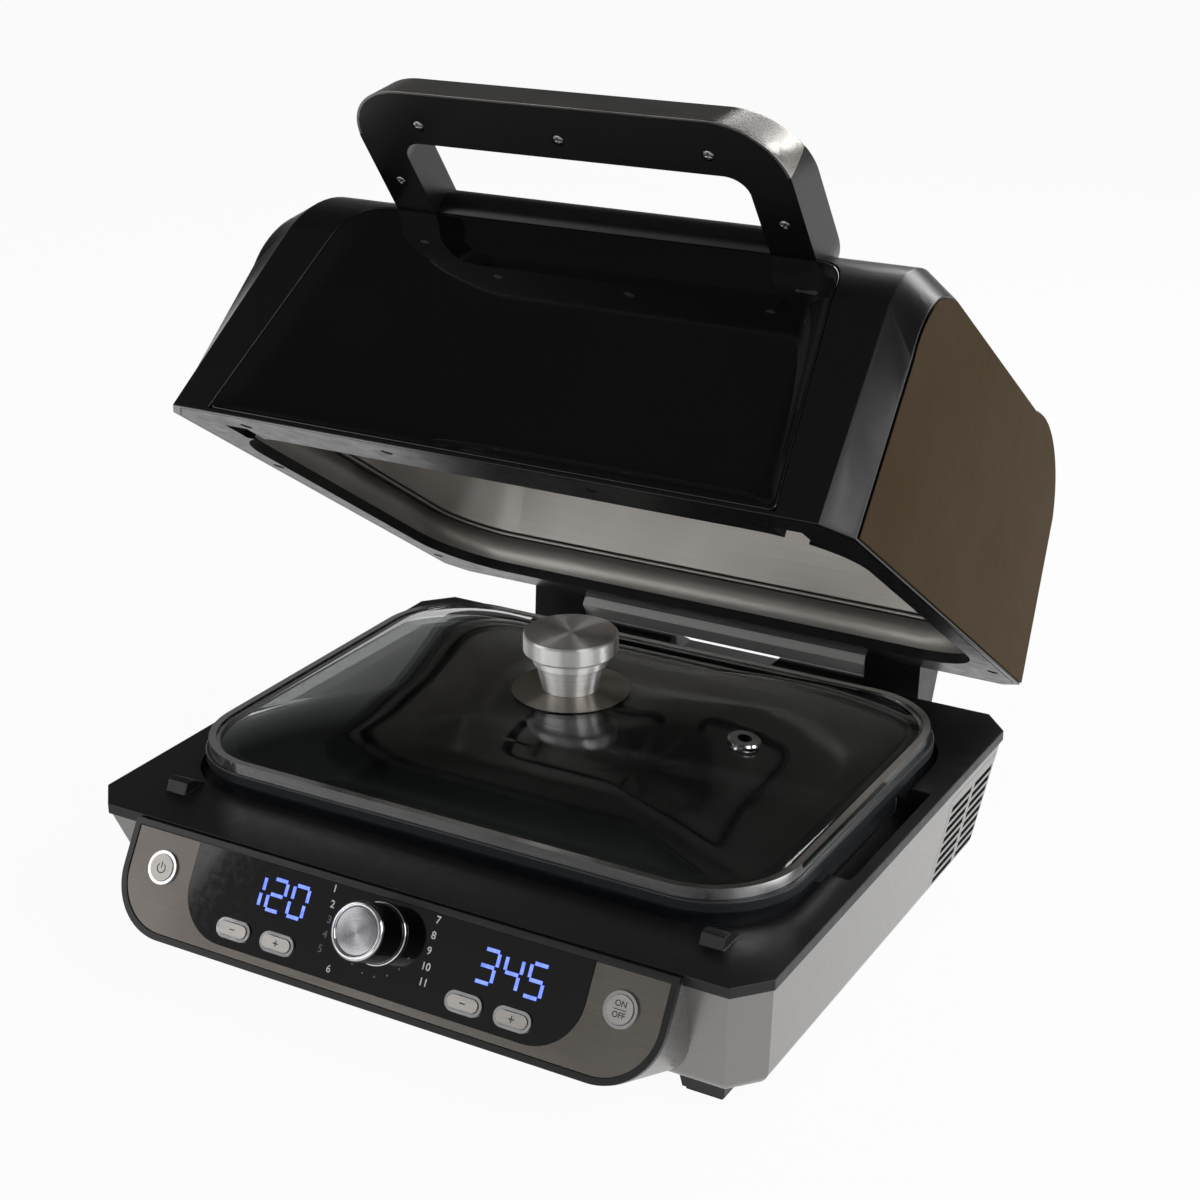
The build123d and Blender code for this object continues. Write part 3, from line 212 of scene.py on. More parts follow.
def plated_metal(name, dark, light, roughness=0.08):
    """Chrome plate or blackened steel: smooth, with faint water marks that dull it in places."""
    material, tree, place = blank_material(name)
    mark_mm = 5.0
    marks = add(tree, "TexNoise", {"Vector": place, "Scale": 1 / mark_mm, "Detail": 4.0})
    colour = add(tree, "Mix", {0: marks, 6: dark, 7: light}, out=2, data_type="RGBA")
    rough = add(tree, "MapRange", {
        "Value": marks, "From Min": 0.4, "From Max": 0.8, "To Min": roughness, "To Max": roughness + 0.1})
    surface = add(tree, "BsdfPrincipled", {"Base Color": colour, "Roughness": rough, "Metallic": 1.0})
    add(tree, "OutputMaterial", {"Surface": surface})


def coated_steel(name, dark, light, roughness=0.42):
    """Sprayed non-stick coating on pressed aluminium: a dark satin film with pale specks."""
    material, tree, place = blank_material(name)
    speck_mm = 1.6
    spray_mm = 0.8
    cells = add(tree, "TexVoronoi", {"Vector": place, "Scale": 1 / speck_mm})
    specks = add(tree, "MapRange", {
        "Value": cells, "From Min": 0.12, "From Max": 0.3, "To Min": 1.0, "To Max": 0.0})
    spray = add(tree, "TexNoise", {"Vector": place, "Scale": 1 / spray_mm, "Detail": 4.0})
    colour = add(tree, "Mix", {0: specks, 6: dark, 7: light}, out=2, data_type="RGBA")
    rough = add(tree, "MapRange", {
        "Value": spray, **noise_span, "To Min": roughness - 0.08, "To Max": roughness + 0.08})
    relief = add(tree, "Bump", {"Height": spray, "Strength": 0.2, "Distance": 0.04 * MM})
    surface = add(tree, "BsdfPrincipled", {
        "Base Color": colour, "Roughness": rough, "Normal": relief, "IOR": 1.4, "Coat Weight": 0.1})
    add(tree, "OutputMaterial", {"Surface": surface})


def clear_glass(name, body):
    """Tempered soda-lime glass: clear and colourless, with the faintest smear from wiping."""
    material, tree, place = blank_material(name)
    smear_mm = 30.0
    smear = add(tree, "TexNoise", {"Vector": place, "Scale": 1 / smear_mm, "Detail": 5.0, "Roughness": 0.6})
    rough = add(tree, "MapRange", {
        "Value": smear, "From Min": 0.5, "From Max": 0.9, "To Min": 0.0, "To Max": 0.03})
    surface = add(tree, "BsdfPrincipled", {
        "Base Color": body, "Roughness": rough, "Transmission Weight": 1.0, "IOR": 1.5,
        "Specular IOR Level": 0.35})
    add(tree, "OutputMaterial", {"Surface": surface})


def soft_rubber(name, dark, light):
    """Black silicone rubber: matt, with a dusty bloom."""
    material, tree, place = blank_material(name)
    bloom_mm = 3.0
    bloom = add(tree, "TexNoise", {"Vector": place, "Scale": 1 / bloom_mm, "Detail": 6.0})
    colour = add(tree, "Mix", {0: bloom, 6: dark, 7: light}, out=2, data_type="RGBA")
    rough = add(tree, "MapRange", {"Value": bloom, **noise_span, "To Min": 0.7, "To Max": 0.85})
    surface = add(tree, "BsdfPrincipled", {
        "Base Color": colour, "Roughness": rough, "IOR": 1.43, "Sheen Weight": 0.1})
    add(tree, "OutputMaterial", {"Surface": surface})


def lit_bars(name, edge, core, strength):
    """Display bars lit from behind: brightest where a diode sits, fading between them."""
    material, tree, place = blank_material(name)
    diode_mm = 2.5
    diodes = add(tree, "TexNoise", {"Vector": place, "Scale": 1 / diode_mm, "Detail": 1.0})
    glow = add(tree, "Mix", {0: diodes, 6: edge, 7: core}, out=2, data_type="RGBA")
    surface = add(tree, "BsdfPrincipled", {
        "Base Color": linear("#1A2A80"), "Roughness": 0.4,
        "Emission Color": glow, "Emission Strength": strength})
    add(tree, "OutputMaterial", {"Surface": surface})


def scaled_steel(name, dark, light):
    """Heating-element sheath: nickel steel with blotches of heat scale."""
    material, tree, place = blank_material(name)
    blotch_mm = 6.0
    burn = add(tree, "TexNoise", {"Vector": place, "Scale": 1 / blotch_mm, "Detail": 6.0, "Roughness": 0.65})
    colour = add(tree, "Mix", {0: burn, 6: dark, 7: light}, out=2, data_type="RGBA")
    rough = add(tree, "MapRange", {"Value": burn, **noise_span, "To Min": 0.4, "To Max": 0.6})
    surface = add(tree, "BsdfPrincipled", {"Base Color": colour, "Roughness": rough, "Metallic": 0.85})
    add(tree, "OutputMaterial", {"Surface": surface})


# Sizes and colours that a user may change
class GrillColours(bpy.types.PropertyGroup):
    """Colours of the grill's finishes."""

    plastic: bpy.props.FloatVectorProperty(
        name="Black plastic", description="Casing and deck", subtype="COLOR", size=4, min=0, max=1,
        default=linear("#0D0D0F"))
    painted: bpy.props.FloatVectorProperty(
        name="Painted plastic", description="Silver-grey base sides", subtype="COLOR", size=4, min=0, max=1,
        default=linear("#8C8A88"))
    bronze: bpy.props.FloatVectorProperty(
        name="Bronze steel", description="Side panels of the lid", subtype="COLOR", size=4, min=0, max=1,
        default=linear("#2C221B"))
    fascia: bpy.props.FloatVectorProperty(
        name="Fascia", description="Brushed plate round the controls", subtype="COLOR", size=4, min=0, max=1,
        default=linear("#69645F"))
    steel: bpy.props.FloatVectorProperty(
        name="Stainless steel", description="Knob, rim and liner", subtype="COLOR", size=4, min=0, max=1,
        default=linear("#B4AEA6"))
    figures: bpy.props.FloatVectorProperty(
        name="Display figures", description="Lit display bars", subtype="COLOR", size=4, min=0, max=1,
        default=linear("#3F68FF"))


class GrillSizes(bpy.types.PropertyGroup):
    """Sizes of the detail that is laid over the frame."""

    edge: bpy.props.FloatProperty(
        name="Edge round", description="Radius worn on moulded edges", unit="LENGTH",
        default=0.7 * MM, min=0)
    dish_depth: bpy.props.FloatProperty(
        name="Dish depth", description="Depth of the front panel's dish", unit="LENGTH",
        default=4.5 * MM, min=0)
    label_height: bpy.props.FloatProperty(
        name="Label height", description="Height of the printed numbers", unit="LENGTH",
        default=3.9 * MM, min=0)


class GrillStage(bpy.types.PropertyGroup):
    """Camera and studio."""

    lens: bpy.props.FloatProperty(
        name="Lens", description="Focal length on a 36 mm sensor", subtype="DISTANCE_CAMERA",
        default=65.2, min=10)
    lamp_level: bpy.props.FloatProperty(
        name="Lamp level", description="Share of the full power of every lamp", default=1.0, min=0)
    world_level: bpy.props.FloatProperty(
        name="Room level", description="Brightness of the studio round the object", default=0.55, min=0)


def paler(colour, share):
    """The same colour mixed with a share of white."""
    return (*[c + (1 - c) * share for c in tuple(colour)[:3]], 1.0)


def darker(colour, share):
    """The same colour with a share of its light left."""
    return (*[c * share for c in tuple(colour)[:3]], 1.0)


finish_of_slot = {
    "black_plastic": "moulded_black_abs",
    "grey_plastic": "painted_silver_abs",
    "gloss_black": "polished_black_abs",
    "bronze_metal": "brushed_bronze_steel",
    "dark_brushed_metal": "brushed_dark_aluminium",
    "fascia_metal": "brushed_fascia_aluminium",
    "brushed_steel": "brushed_stainless_steel",
    "chrome": "chrome_plated_brass",
    "element_metal": "scaled_element_steel",
    "nonstick": "sprayed_nonstick_coating",
    "glass": "tempered_soda_lime_glass",
    "rubber": "moulded_silicone_rubber",
    "screw_black": "blackened_screw_steel",
    "button_silver": "brushed_button_aluminium",
    "led_blue": "lit_display_acrylic",
    "circuit_board": "etched_epoxy_board",
}
finish_of_node = {
    "lid_knob": "turned_steel_painted_highlight",
    "knob_flange": "spun_flange_steel_painted_shade",
    "dial_trim": "turned_dial_aluminium",
    "lid_liner": "brushed_liner_steel",
    "hinge_trough": "trough_steel_painted_sheen",
    "glass_rim": "polished_rim_steel",
    "lid_shell": "satin_black_abs",
    "handle_cover": "satin_black_abs",
    "handle_back": "satin_black_abs",
    "lid_rim": "painted_rim_abs",
    "panel_frame": "satin_black_abs",
}


def finish(obj, name):
    """Gives an object one finish, by name."""
    obj.data.materials.clear()
    obj.data.materials.append(bpy.data.materials[name])


def node_finish(node):
    """The finish that a CAD node shows."""
    return finish_of_node.get(node, finish_of_slot[node_slots[node]])


class GRILL_OT_finishes(bpy.types.Operator):
    """Makes every finish and gives each CAD node its own"""

    bl_idname = "grill.finishes"
    bl_label = "Finishes"

    def execute(self, context):
        colours = context.scene.grill_colours
        plastic, bronze, fascia, steel = colours.plastic, colours.bronze, colours.fascia, colours.steel
        knob_middle = sum(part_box("lid_knob"), Vector()) / 2
        dial_middle = sum(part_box("dial_trim"), Vector()) / 2
        moulded_plastic("moulded_black_abs", darker(plastic, 0.75), plastic, 0.42)
        moulded_plastic("satin_black_abs", darker(plastic, 0.5), darker(plastic, 0.8), 0.3, marks=0.015)
        moulded_plastic(
            "painted_silver_abs", darker(colours.painted, 0.96), colours.painted, 0.28,
            grain_mm=0.35, grain_depth=0.1, metallic=0.9, coat=0.15, marks=0.012)
        moulded_plastic("painted_rim_abs", darker(plastic, 1.2), darker(plastic, 1.7), 0.34, metallic=0.3)
        moulded_plastic("printed_pale_ink", linear("#C6C6C4"), linear("#DADAD8"), 0.5, grain_mm=0.3)
        moulded_plastic("printed_dim_ink", linear("#55565A"), linear("#67686C"), 0.5, grain_mm=0.3)
        moulded_plastic("printed_dark_ink", linear("#1B1B1C"), linear("#262627"), 0.5, grain_mm=0.3)
        moulded_plastic("etched_epoxy_board", linear("#14422B"), linear("#1D5A3A"), 0.35)
        gloss_plastic("polished_black_abs", linear("#020203"), linear("#060608"))
        brushed_metal(
            "brushed_bronze_steel", darker(bronze, 0.85), paler(bronze, 0.01), "Z", 0.3, 0.45, 60.0,
            edge_tint=linear("#DCD2C4"))
        brushed_metal("brushed_dark_aluminium", linear("#7A7774"), linear("#A3A09C"), "X", 0.28)
        brushed_metal(
            "brushed_fascia_aluminium", darker(fascia, 0.86), paler(fascia, 0.03), "X", 0.34, 0.3, 35.0)
        brushed_metal(
            "brushed_button_aluminium", linear("#A09C98"), linear("#B8B4B0"), "X", 0.36, 0.25, 12.0)
        brushed_metal("brushed_stainless_steel", darker(steel, 0.82), paler(steel, 0.05), "X", 0.3)
        brushed_metal(
            "brushed_liner_steel", paler(steel, 0.05), paler(steel, 0.3), "X", 0.42, 0.4, 80.0, metallic=0.6)
        # The trough's near-white colour with little metal paints in the bright reflection it shows from the
        # shade under the lid: a painted reflection
        brushed_metal(
            "trough_steel_painted_sheen", linear("#DEDEDC"), linear("#F2F2F0"), "X", 0.4, 0.4, 60.0, metallic=0.25)
        brushed_metal("polished_rim_steel", paler(steel, 0.75), paler(steel, 0.95), "X", 0.16, 0.3, 60.0)
        # The knob and its flange are one steel: the knob's copy is made paler as a painted highlight on its
        # top, and the flange's copy darker as painted shade
        turned_metal(
            "turned_steel_painted_highlight", paler(steel, 0.6), paler(steel, 0.95), knob_middle, (0, 0, 1), 0.38)
        turned_metal(
            "spun_flange_steel_painted_shade", darker(steel, 0.7), darker(steel, 0.95), knob_middle, (0, 0, 1), 0.36)
        turned_metal(
            "turned_dial_aluminium", linear("#8F8F92"), linear("#BDBDC0"), dial_middle, panel_out, 0.26)
        plated_metal("chrome_plated_brass", linear("#C8C8CA"), linear("#E4E4E6"))
        plated_metal("blackened_screw_steel", linear("#26262A"), linear("#454549"), 0.25)
        plated_metal("zinc_screw_steel", linear("#8E8E90"), linear("#B4B4B6"), 0.2)
        scaled_steel("scaled_element_steel", linear("#2E2E31"), linear("#57534F"))
        coated_steel("sprayed_nonstick_coating", linear("#1D2024"), linear("#2E3237"))
        clear_glass("tempered_soda_lime_glass", linear("#F4FAF8"))
        soft_rubber("moulded_silicone_rubber", linear("#141414"), linear("#232323"))
        lit_bars("lit_display_acrylic", darker(colours.figures, 0.85), paler(colours.figures, 0.2), 1.7)
        for node, obj in frame["nodes"].items():
            finish(obj, node_finish(node))
        return {"FINISHED"}


# Mesh helpers
def new_object(name, data):
    """A new object with its data, in the scene."""
    obj = bpy.data.objects.new(name, data)
    bpy.context.scene.collection.objects.link(obj)
    return obj


def weld(work, reach=1e-6):
    """Joins the corners that lie together, then turns the faces outwards."""
    bmesh.ops.remove_doubles(work, verts=work.verts, dist=reach)
    bmesh.ops.recalc_face_normals(work, faces=work.faces)


def mesh_object(name, corners, faces, smooth=True):
    """A new object from corner places and faces, with its normals turned outwards."""
    mesh = bpy.data.meshes.new(name)
    mesh.from_pydata([tuple(corner) for corner in corners], [], faces)
    work = bmesh.new()
    work.from_mesh(mesh)
    weld(work)
    for face in work.faces:
        face.smooth = smooth
    work.to_mesh(mesh)
    work.free()
    return new_object(name, mesh)


def place_piece(obj, body, finish_name, replaced=()):
    """Gives a piece its finish and its body, and hides the CAD nodes that it stands for."""
    finish(obj, finish_name)
    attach(obj, body)
    if replaced:
        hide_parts(*replaced)


def body_of(node):
    """The CAD body that a node belongs to."""
    return frame["nodes"][node]["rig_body"]


def worn_copy(node, width, angle):
    """A copy of a CAD node with its edges rounded where they turn by more than an angle in degrees."""
    flat_angle = math.radians(0.6)
    obj = frame["nodes"][node].copy()
    obj.data = obj.data.copy()
    obj.name = "worn_" + node
    obj.data.name = obj.name
    for key in list(obj.keys()):
        del obj[key]
    obj.parent = None
    bpy.context.scene.collection.objects.link(obj)
    work = bmesh.new()
    work.from_mesh(obj.data)
    bmesh.ops.remove_doubles(work, verts=work.verts, dist=2e-6)
    bmesh.ops.dissolve_limit(work, angle_limit=flat_angle, verts=work.verts, edges=work.edges)
    bmesh.ops.recalc_face_normals(work, faces=work.faces)
    for face in work.faces:
        face.smooth = True
    work.to_mesh(obj.data)
    work.free()
    rounding = obj.modifiers.new("edge_round", "BEVEL")
    rounding.width = width
    rounding.segments = 2
    rounding.limit_method = "ANGLE"
    rounding.angle_limit = math.radians(angle)
    rounding.miter_outer = "MITER_ARC"
    leaning = obj.modifiers.new("flat_shading", "WEIGHTED_NORMAL")
    leaning.keep_sharp = True
    leaning.weight = 80
    return bake_modifiers(obj)


def bake_modifiers(obj):
    """Turns an object's modifiers into plain mesh."""
    result = bpy.data.meshes.new_from_object(obj.evaluated_get(bpy.context.evaluated_depsgraph_get()))
    obj.modifiers.clear()
    old = obj.data
    obj.data = result
    bpy.data.meshes.remove(old)
    return obj


def ring_skin(loops, closed_ends=(False, False)):
    """Faces that join equal loops of points one to the next, with a cap on either end if asked."""
    count = len(loops[0])
    faces = []
    for level in range(len(loops) - 1):
        low = level * count
        high = low + count
        for i in range(count):
            j = (i + 1) % count
            faces.append((low + i, low + j, high + j, high + i))
    if closed_ends[0]:
        faces.append(tuple(range(count)))
    if closed_ends[1]:
        faces.append(tuple(range((len(loops) - 1) * count, len(loops) * count)))
    return [point for loop in loops for point in loop], faces


# Nodes whose hard edges are rounded, each with its share of the edge's radius
worn_nodes = {
    "deck_cover": 1.0,
    "base_shell": 0.7,
    "lid_rim": 0.6,
    "lid_side_panels": 0.4,
    "handle_band": 0.6,
    "panel_frame": 0.5,
    "fascia_plate": 0.3,
    "display_window": 0.4,
    "panel_housing": 0.7,
    "lid_hinge_arm": 1.0,
    "hinge_trough": 0.4,
    "hinge_housing": 0.8,
    "front_feet": 1.2,
    "rear_feet": 1.2,
    "lid_shell": 0.9,
}


class GRILL_OT_casings(bpy.types.Operator):
    """Rounds the edges of the moulded casings and pressed plates"""

    bl_idname = "grill.casings"
    bl_label = "Casings"

    def execute(self, context):
        edge = context.scene.grill_sizes.edge
        for node, share in worn_nodes.items():
            # The lid's shell also has a shallow fold
            piece = worn_copy(node, edge * share, 14.0 if node == "lid_shell" else 28.0)
            place_piece(piece, body_of(node), node_finish(node), [node])
        return {"FINISHED"}


def rounded_outline(corners, radii, steps=10, run=0):
    """A closed flat outline, each corner rounded by its own radius, with a run of points on each side."""
    arcs = []
    for index, (corner, radius) in enumerate(zip(corners, radii)):
        here = Vector(corner)
        before = (Vector(corners[index - 1]) - here).normalized()
        after = (Vector(corners[(index + 1) % len(corners)]) - here).normalized()
        half_angle = before.angle(after) / 2
        centre = here + (before + after).normalized() * (radius / math.sin(half_angle))
        start = here + before * (radius / math.tan(half_angle)) - centre
        end = here + after * (radius / math.tan(half_angle)) - centre
        turns = [start.slerp(end, step / steps).normalized() for step in range(steps + 1)]
        arcs.append([centre + turn * radius for turn in turns])
    outline = []
    for index, arc in enumerate(arcs):
        following = arcs[(index + 1) % len(arcs)][0]
        outline += arc
        outline += [arc[-1].lerp(following, (step + 1) / (run + 1)) for step in range(run)]
    return outline


def circle_through(a, b, c):
    """The centre and radius of the circle through three flat points."""
    ax, ay, bx, by, cx, cy = (*a, *b, *c)
    twice = 2 * (ax * (by - cy) + bx * (cy - ay) + cx * (ay - by))
    squares = [x * x + y * y for x, y in (a, b, c)]
    x = (squares[0] * (by - cy) + squares[1] * (cy - ay) + squares[2] * (ay - by)) / twice
    y = (squares[0] * (cx - bx) + squares[1] * (ax - cx) + squares[2] * (bx - ax)) / twice
    return Vector((x, y)), math.dist((x, y), a)


# The lid's front on the closed lid, in metres from the deck's middle: a leaning plane, then a round shoulder
front_lean = 0.305
front_foot = -168.7 * MM
shoulder_height = 118 * MM
shoulder_low = Vector((front_foot + front_lean * shoulder_height, shoulder_height))
shoulder_centre, shoulder_radius = circle_through(
    shoulder_low, (-119 * MM, 138.5 * MM), (-90 * MM, 154 * MM))


def lid_front(x, height, depth):
    """A point on the lid's front at a height, sunk by a depth square to the surface, on the open lid."""
    if height < shoulder_low.y:
        slope = math.hypot(1, front_lean)
        inwards = Vector((1 / slope, -front_lean / slope))
        flat = Vector((front_foot + front_lean * height, height))
    else:
        up = height - shoulder_centre.y
        back = math.sqrt(max(shoulder_radius ** 2 - up ** 2, 0))
        flat = Vector((shoulder_centre.x - back, height))
        inwards = (shoulder_centre - flat).normalized()
    flat += inwards * depth
    return lid_turn @ Vector((x, flat.x, flat.y))


class GRILL_OT_front_panel(bpy.types.Operator):
    """Makes the lid's glossy front: a shallow dish with a rolled-in edge"""

    bl_idname = "grill.front_panel"
    bl_label = "Lid front"

    def execute(self, context):
        depth = context.scene.grill_sizes.dish_depth
        edge = 0.5 * MM
        land = 1.0 * MM
        roll = 14 * MM
        skin = 2.5 * MM
        last_inset = 60 * MM
        bottom, top = 3 * MM, 144 * MM
        bottom_half, top_half = 163.5 * MM, 143 * MM

        def loop(inset, sunk):
            lean = (bottom_half - top_half) / (top - bottom)
            low, high = bottom + inset, top - inset
            low_half = bottom_half - inset - lean * inset
            high_half = top_half - inset + lean * inset
            corners = [(low_half, low), (high_half, high), (-high_half, high), (-low_half, low)]
            # A corner stays round while its outline shrinks, and never takes up a side
            room = (high - low) * 0.3
            large = min(max(20 * MM - inset * 0.3, 4 * MM), room)
            small = min(3 * MM + inset * 0.5, room)
            outline = rounded_outline(corners, (small, large, large, small), run=24)
            return [lid_front(x, height, sunk) for x, height in outline]

        rolled = land + roll
        centre_insets = [rolled + share * (last_inset - rolled) for share in (0.15, 0.35, 0.6, 0.85, 1.0)]
        roll_steps = 12
        front = [(0.0, edge), (edge * 0.3, edge * 0.3), (edge, 0.0), (land, 0.0)]
        front += [
            (land + roll * step / roll_steps, depth * (1 - (1 - step / roll_steps) ** 2))
            for step in range(1, roll_steps + 1)]
        front += [(inset, depth) for inset in centre_insets]
        rear = [(inset, depth + skin) for inset in reversed(centre_insets)]
        rear += [(rolled, depth + skin), (land + 2 * MM, skin + 1 * MM), (0.0, skin)]
        loops = [loop(inset, sunk) for inset, sunk in rear + front]
        piece = mesh_object("lid_front_dish", *ring_skin(loops, (True, True)))
        node = "lid_front_panel"
        place_piece(piece, "lid", node_finish(node), [node])
        return {"FINISHED"}


class GRILL_OT_liner_skirt(bpy.types.Operator):
    """Presses the steel skirt that lines the lid's collar, down to its rim"""

    bl_idname = "grill.liner_skirt"
    bl_label = "Liner skirt"

    def execute(self, context):
        gap = 0.25 * MM
        sheet_thickness = 0.3 * MM
        work = bmesh.new()
        work.from_mesh(frame["nodes"]["lid_collar"].data)
        work.transform(lid_turn.inverted())
        weld(work)
        low = min(vertex.co.z for vertex in work.verts)
        # Only the collar's inner walls stay
        others = []
        for face in work.faces:
            middle = face.calc_center_median()
            inward = -(face.normal.x * middle.x + face.normal.y * middle.y)
            if abs(face.normal.z) > 0.3 or inward <= 0 or middle.z < low:
                others.append(face)
        bmesh.ops.delete(work, geom=others, context="FACES")
        shifts = {vertex: vertex.normal.copy() for vertex in work.verts}
        for vertex, away in shifts.items():
            flat = Vector((away.x, away.y, 0)).normalized()
            vertex.co += flat * gap
        for face in work.faces:
            face.smooth = True
        work.transform(lid_turn)
        mesh = bpy.data.meshes.new("liner_skirt")
        work.to_mesh(mesh)
        work.free()
        piece = new_object("liner_skirt", mesh)
        sheet = piece.modifiers.new("sheet_thickness", "SOLIDIFY")
        sheet.thickness = sheet_thickness
        sheet.offset = 1.0
        place_piece(bake_modifiers(piece), "lid", "brushed_liner_steel")
        return {"FINISHED"}


class GRILL_OT_glass_dome(bpy.types.Operator):
    """Slumps the glass lid's pane: a flat edge that rises into a smooth shallow dome"""

    bl_idname = "grill.glass_dome"
    bl_label = "Glass dome"

    def execute(self, context):
        low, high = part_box("glass_pane")
        middle = (low.y + high.y) / 2
        half_depth = (high.y - low.y) / 2
        thickness = 3.5 * MM
        edge = 0.4 * MM
        rise = high.z - low.z - thickness
        slack = 0.25 * MM
        rim_radius = 48.4 * MM
        crown_wide, crown_deep, crown_radius = 46 * MM, 40 * MM, 30 * MM
        flange_above, flange_below = 2.6 * MM, 5.6 * MM
        steps = 16

        def loop(inset, height, share=0.0):
            wide = (high.x - inset) * (1 - share) + crown_wide * share
            deep = (half_depth - inset) * (1 - share) + crown_deep * share
            radius = (rim_radius - inset) * (1 - share) + crown_radius * share
            corners = [(wide, deep), (-wide, deep), (-wide, -deep), (wide, -deep)]
            outline = rounded_outline(corners, (radius,) * 4, 14)
            return [Vector((x, middle + y, height)) for x, y in outline]

        def dome(inset, start):
            shares = [step / steps for step in range(steps + 1)]
            heights = [rise * (1 - (1 - share) ** 2) - slack * math.sin(math.pi * share) for share in shares]
            return [loop(inset, start + height, share) for height, share in zip(heights, shares)]

        top = low.z + thickness
        loops = list(reversed(dome(flange_below, low.z + 0.1 * MM)))
        loops += [loop(flange_below, low.z), loop(edge, low.z), loop(0, low.z + edge), loop(0, top - edge)]
        loops += [loop(edge, top)] + dome(flange_above, top)
        piece = mesh_object("glass_dome", *ring_skin(loops, (True, True)))
        # The pane is drilled for its vent and for the knob's screw, by their radii in mm
        drills = []
        for name, radius in (("vent_grommet", 5.9), ("knob_screw", 3.3)):
            spot = sum(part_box(name), Vector()) / 2
            around = Matrix.Translation((spot.x, spot.y, 0))
            profile = [(radius, low.z / MM - 5), (radius, high.z / MM + 5)]
            corners, faces = ring_skin(turned_loops(profile, 48, around), (True, True))
            drill = mesh_object("drill", corners, faces, smooth=False)
            cut = piece.modifiers.new("drilled", "BOOLEAN")
            cut.object = drill
            cut.solver = "EXACT"
            drills.append(drill)
        bake_modifiers(piece)
        piece.data.set_sharp_from_angle(angle=math.radians(35))
        for drill in drills:
            bpy.data.objects.remove(drill)
        node = "glass_pane"
        place_piece(piece, "glass_lid", node_finish(node), [node])
        return {"FINISHED"}


# The control panel's pieces are placed across it and down it in mm
panel_top = deck_middle + Vector((0, -172.45, 0.3)) * MM
dial_drop = 21.5
round_across, round_drop = 136.5, 21.9
outer_across, inner_across, oblong_drop = 83.4, 55.8, 41.3

# Each mode's number, how far it is across the panel and how far down, in mm
mode_numbers = (
    (1, -31.5, 6.7), (2, -30.5, 14.5), (3, -30.0, 22.3), (4, -30.2, 29.8), (5, -30.8, 37.2),
    (6, -23.0, 45.4), (7, 30.3, 6.9), (8, 30.0, 14.6), (9, 29.8, 22.3), (10, 30.2, 30.0), (11, 31.0, 37.6),
)
dim_modes = (3, 4, 5)


def panel_place(node, x, drop):
    """Axes on the face of a panel node: across, up the panel and out of it."""
    face = max(vertex.co.dot(panel_out) for vertex in frame["nodes"][node].data.vertices)
    spot = panel_top + Vector((x, 0, 0)) * MM + panel_down * drop * MM
    spot += panel_out * (face - spot.dot(panel_out))
    axes = Matrix((Vector((1, 0, 0)), -panel_down, panel_out)).transposed().to_4x4()
    return Matrix.Translation(spot) @ axes


def letters(words, height):
    """Flat figures or letters of a height, centred, as a mesh."""
    font_share = 1.38
    curve = bpy.data.curves.new("letters", "FONT")
    curve.body = words
    curve.size = height * font_share
    curve.align_x = "CENTER"
    curve.align_y = "CENTER"
    curve.extrude = 0.04 * MM
    curve.offset = 0.02 * height
    holder = new_object("letters", curve)
    mesh = bpy.data.meshes.new_from_object(holder.evaluated_get(bpy.context.evaluated_depsgraph_get()))
    bpy.data.objects.remove(holder)
    bpy.data.curves.remove(curve)
    return mesh


def stroke(points, width):
    """A flat ribbon of ink along flat points given in mm."""
    low, high = -0.02 * MM, 0.05 * MM
    loops = []
    for index, point in enumerate(points):
        before = Vector(points[max(index - 1, 0)])
        after = Vector(points[min(index + 1, len(points) - 1)])
        along = (after - before).normalized()
        aside = Vector((-along.y, along.x)) * width / 2
        left = (Vector(point) + aside) * MM
        right = (Vector(point) - aside) * MM
        loops.append([(*left, low), (*right, low), (*right, high), (*left, high)])
    mesh = bpy.data.meshes.new("stroke")
    corners, faces = ring_skin(loops, (True, True))
    mesh.from_pydata(corners, [], faces)
    return mesh


def inked(name, marks, node, finish_name):
    """One piece of flat marks, each given as its mesh and its place, that rides with a node."""
    work = bmesh.new()
    for mesh, place in marks:
        mesh.transform(place)
        work.from_mesh(mesh)
        bpy.data.meshes.remove(mesh)
    weld(work, 1e-7)
    mesh = bpy.data.meshes.new(name)
    work.to_mesh(mesh)
    work.free()
    place_piece(new_object(name, mesh), body_of(node), finish_name)


def turned_loops(profile, steps, place):
    """Loops of a form turned about its own axis, from radius and height in mm."""
    return [
        [place @ Vector((radius * MM * math.cos(turn), radius * MM * math.sin(turn), height * MM))
         for turn in [2 * math.pi * step / steps for step in range(steps)]]
        for radius, height in profile]


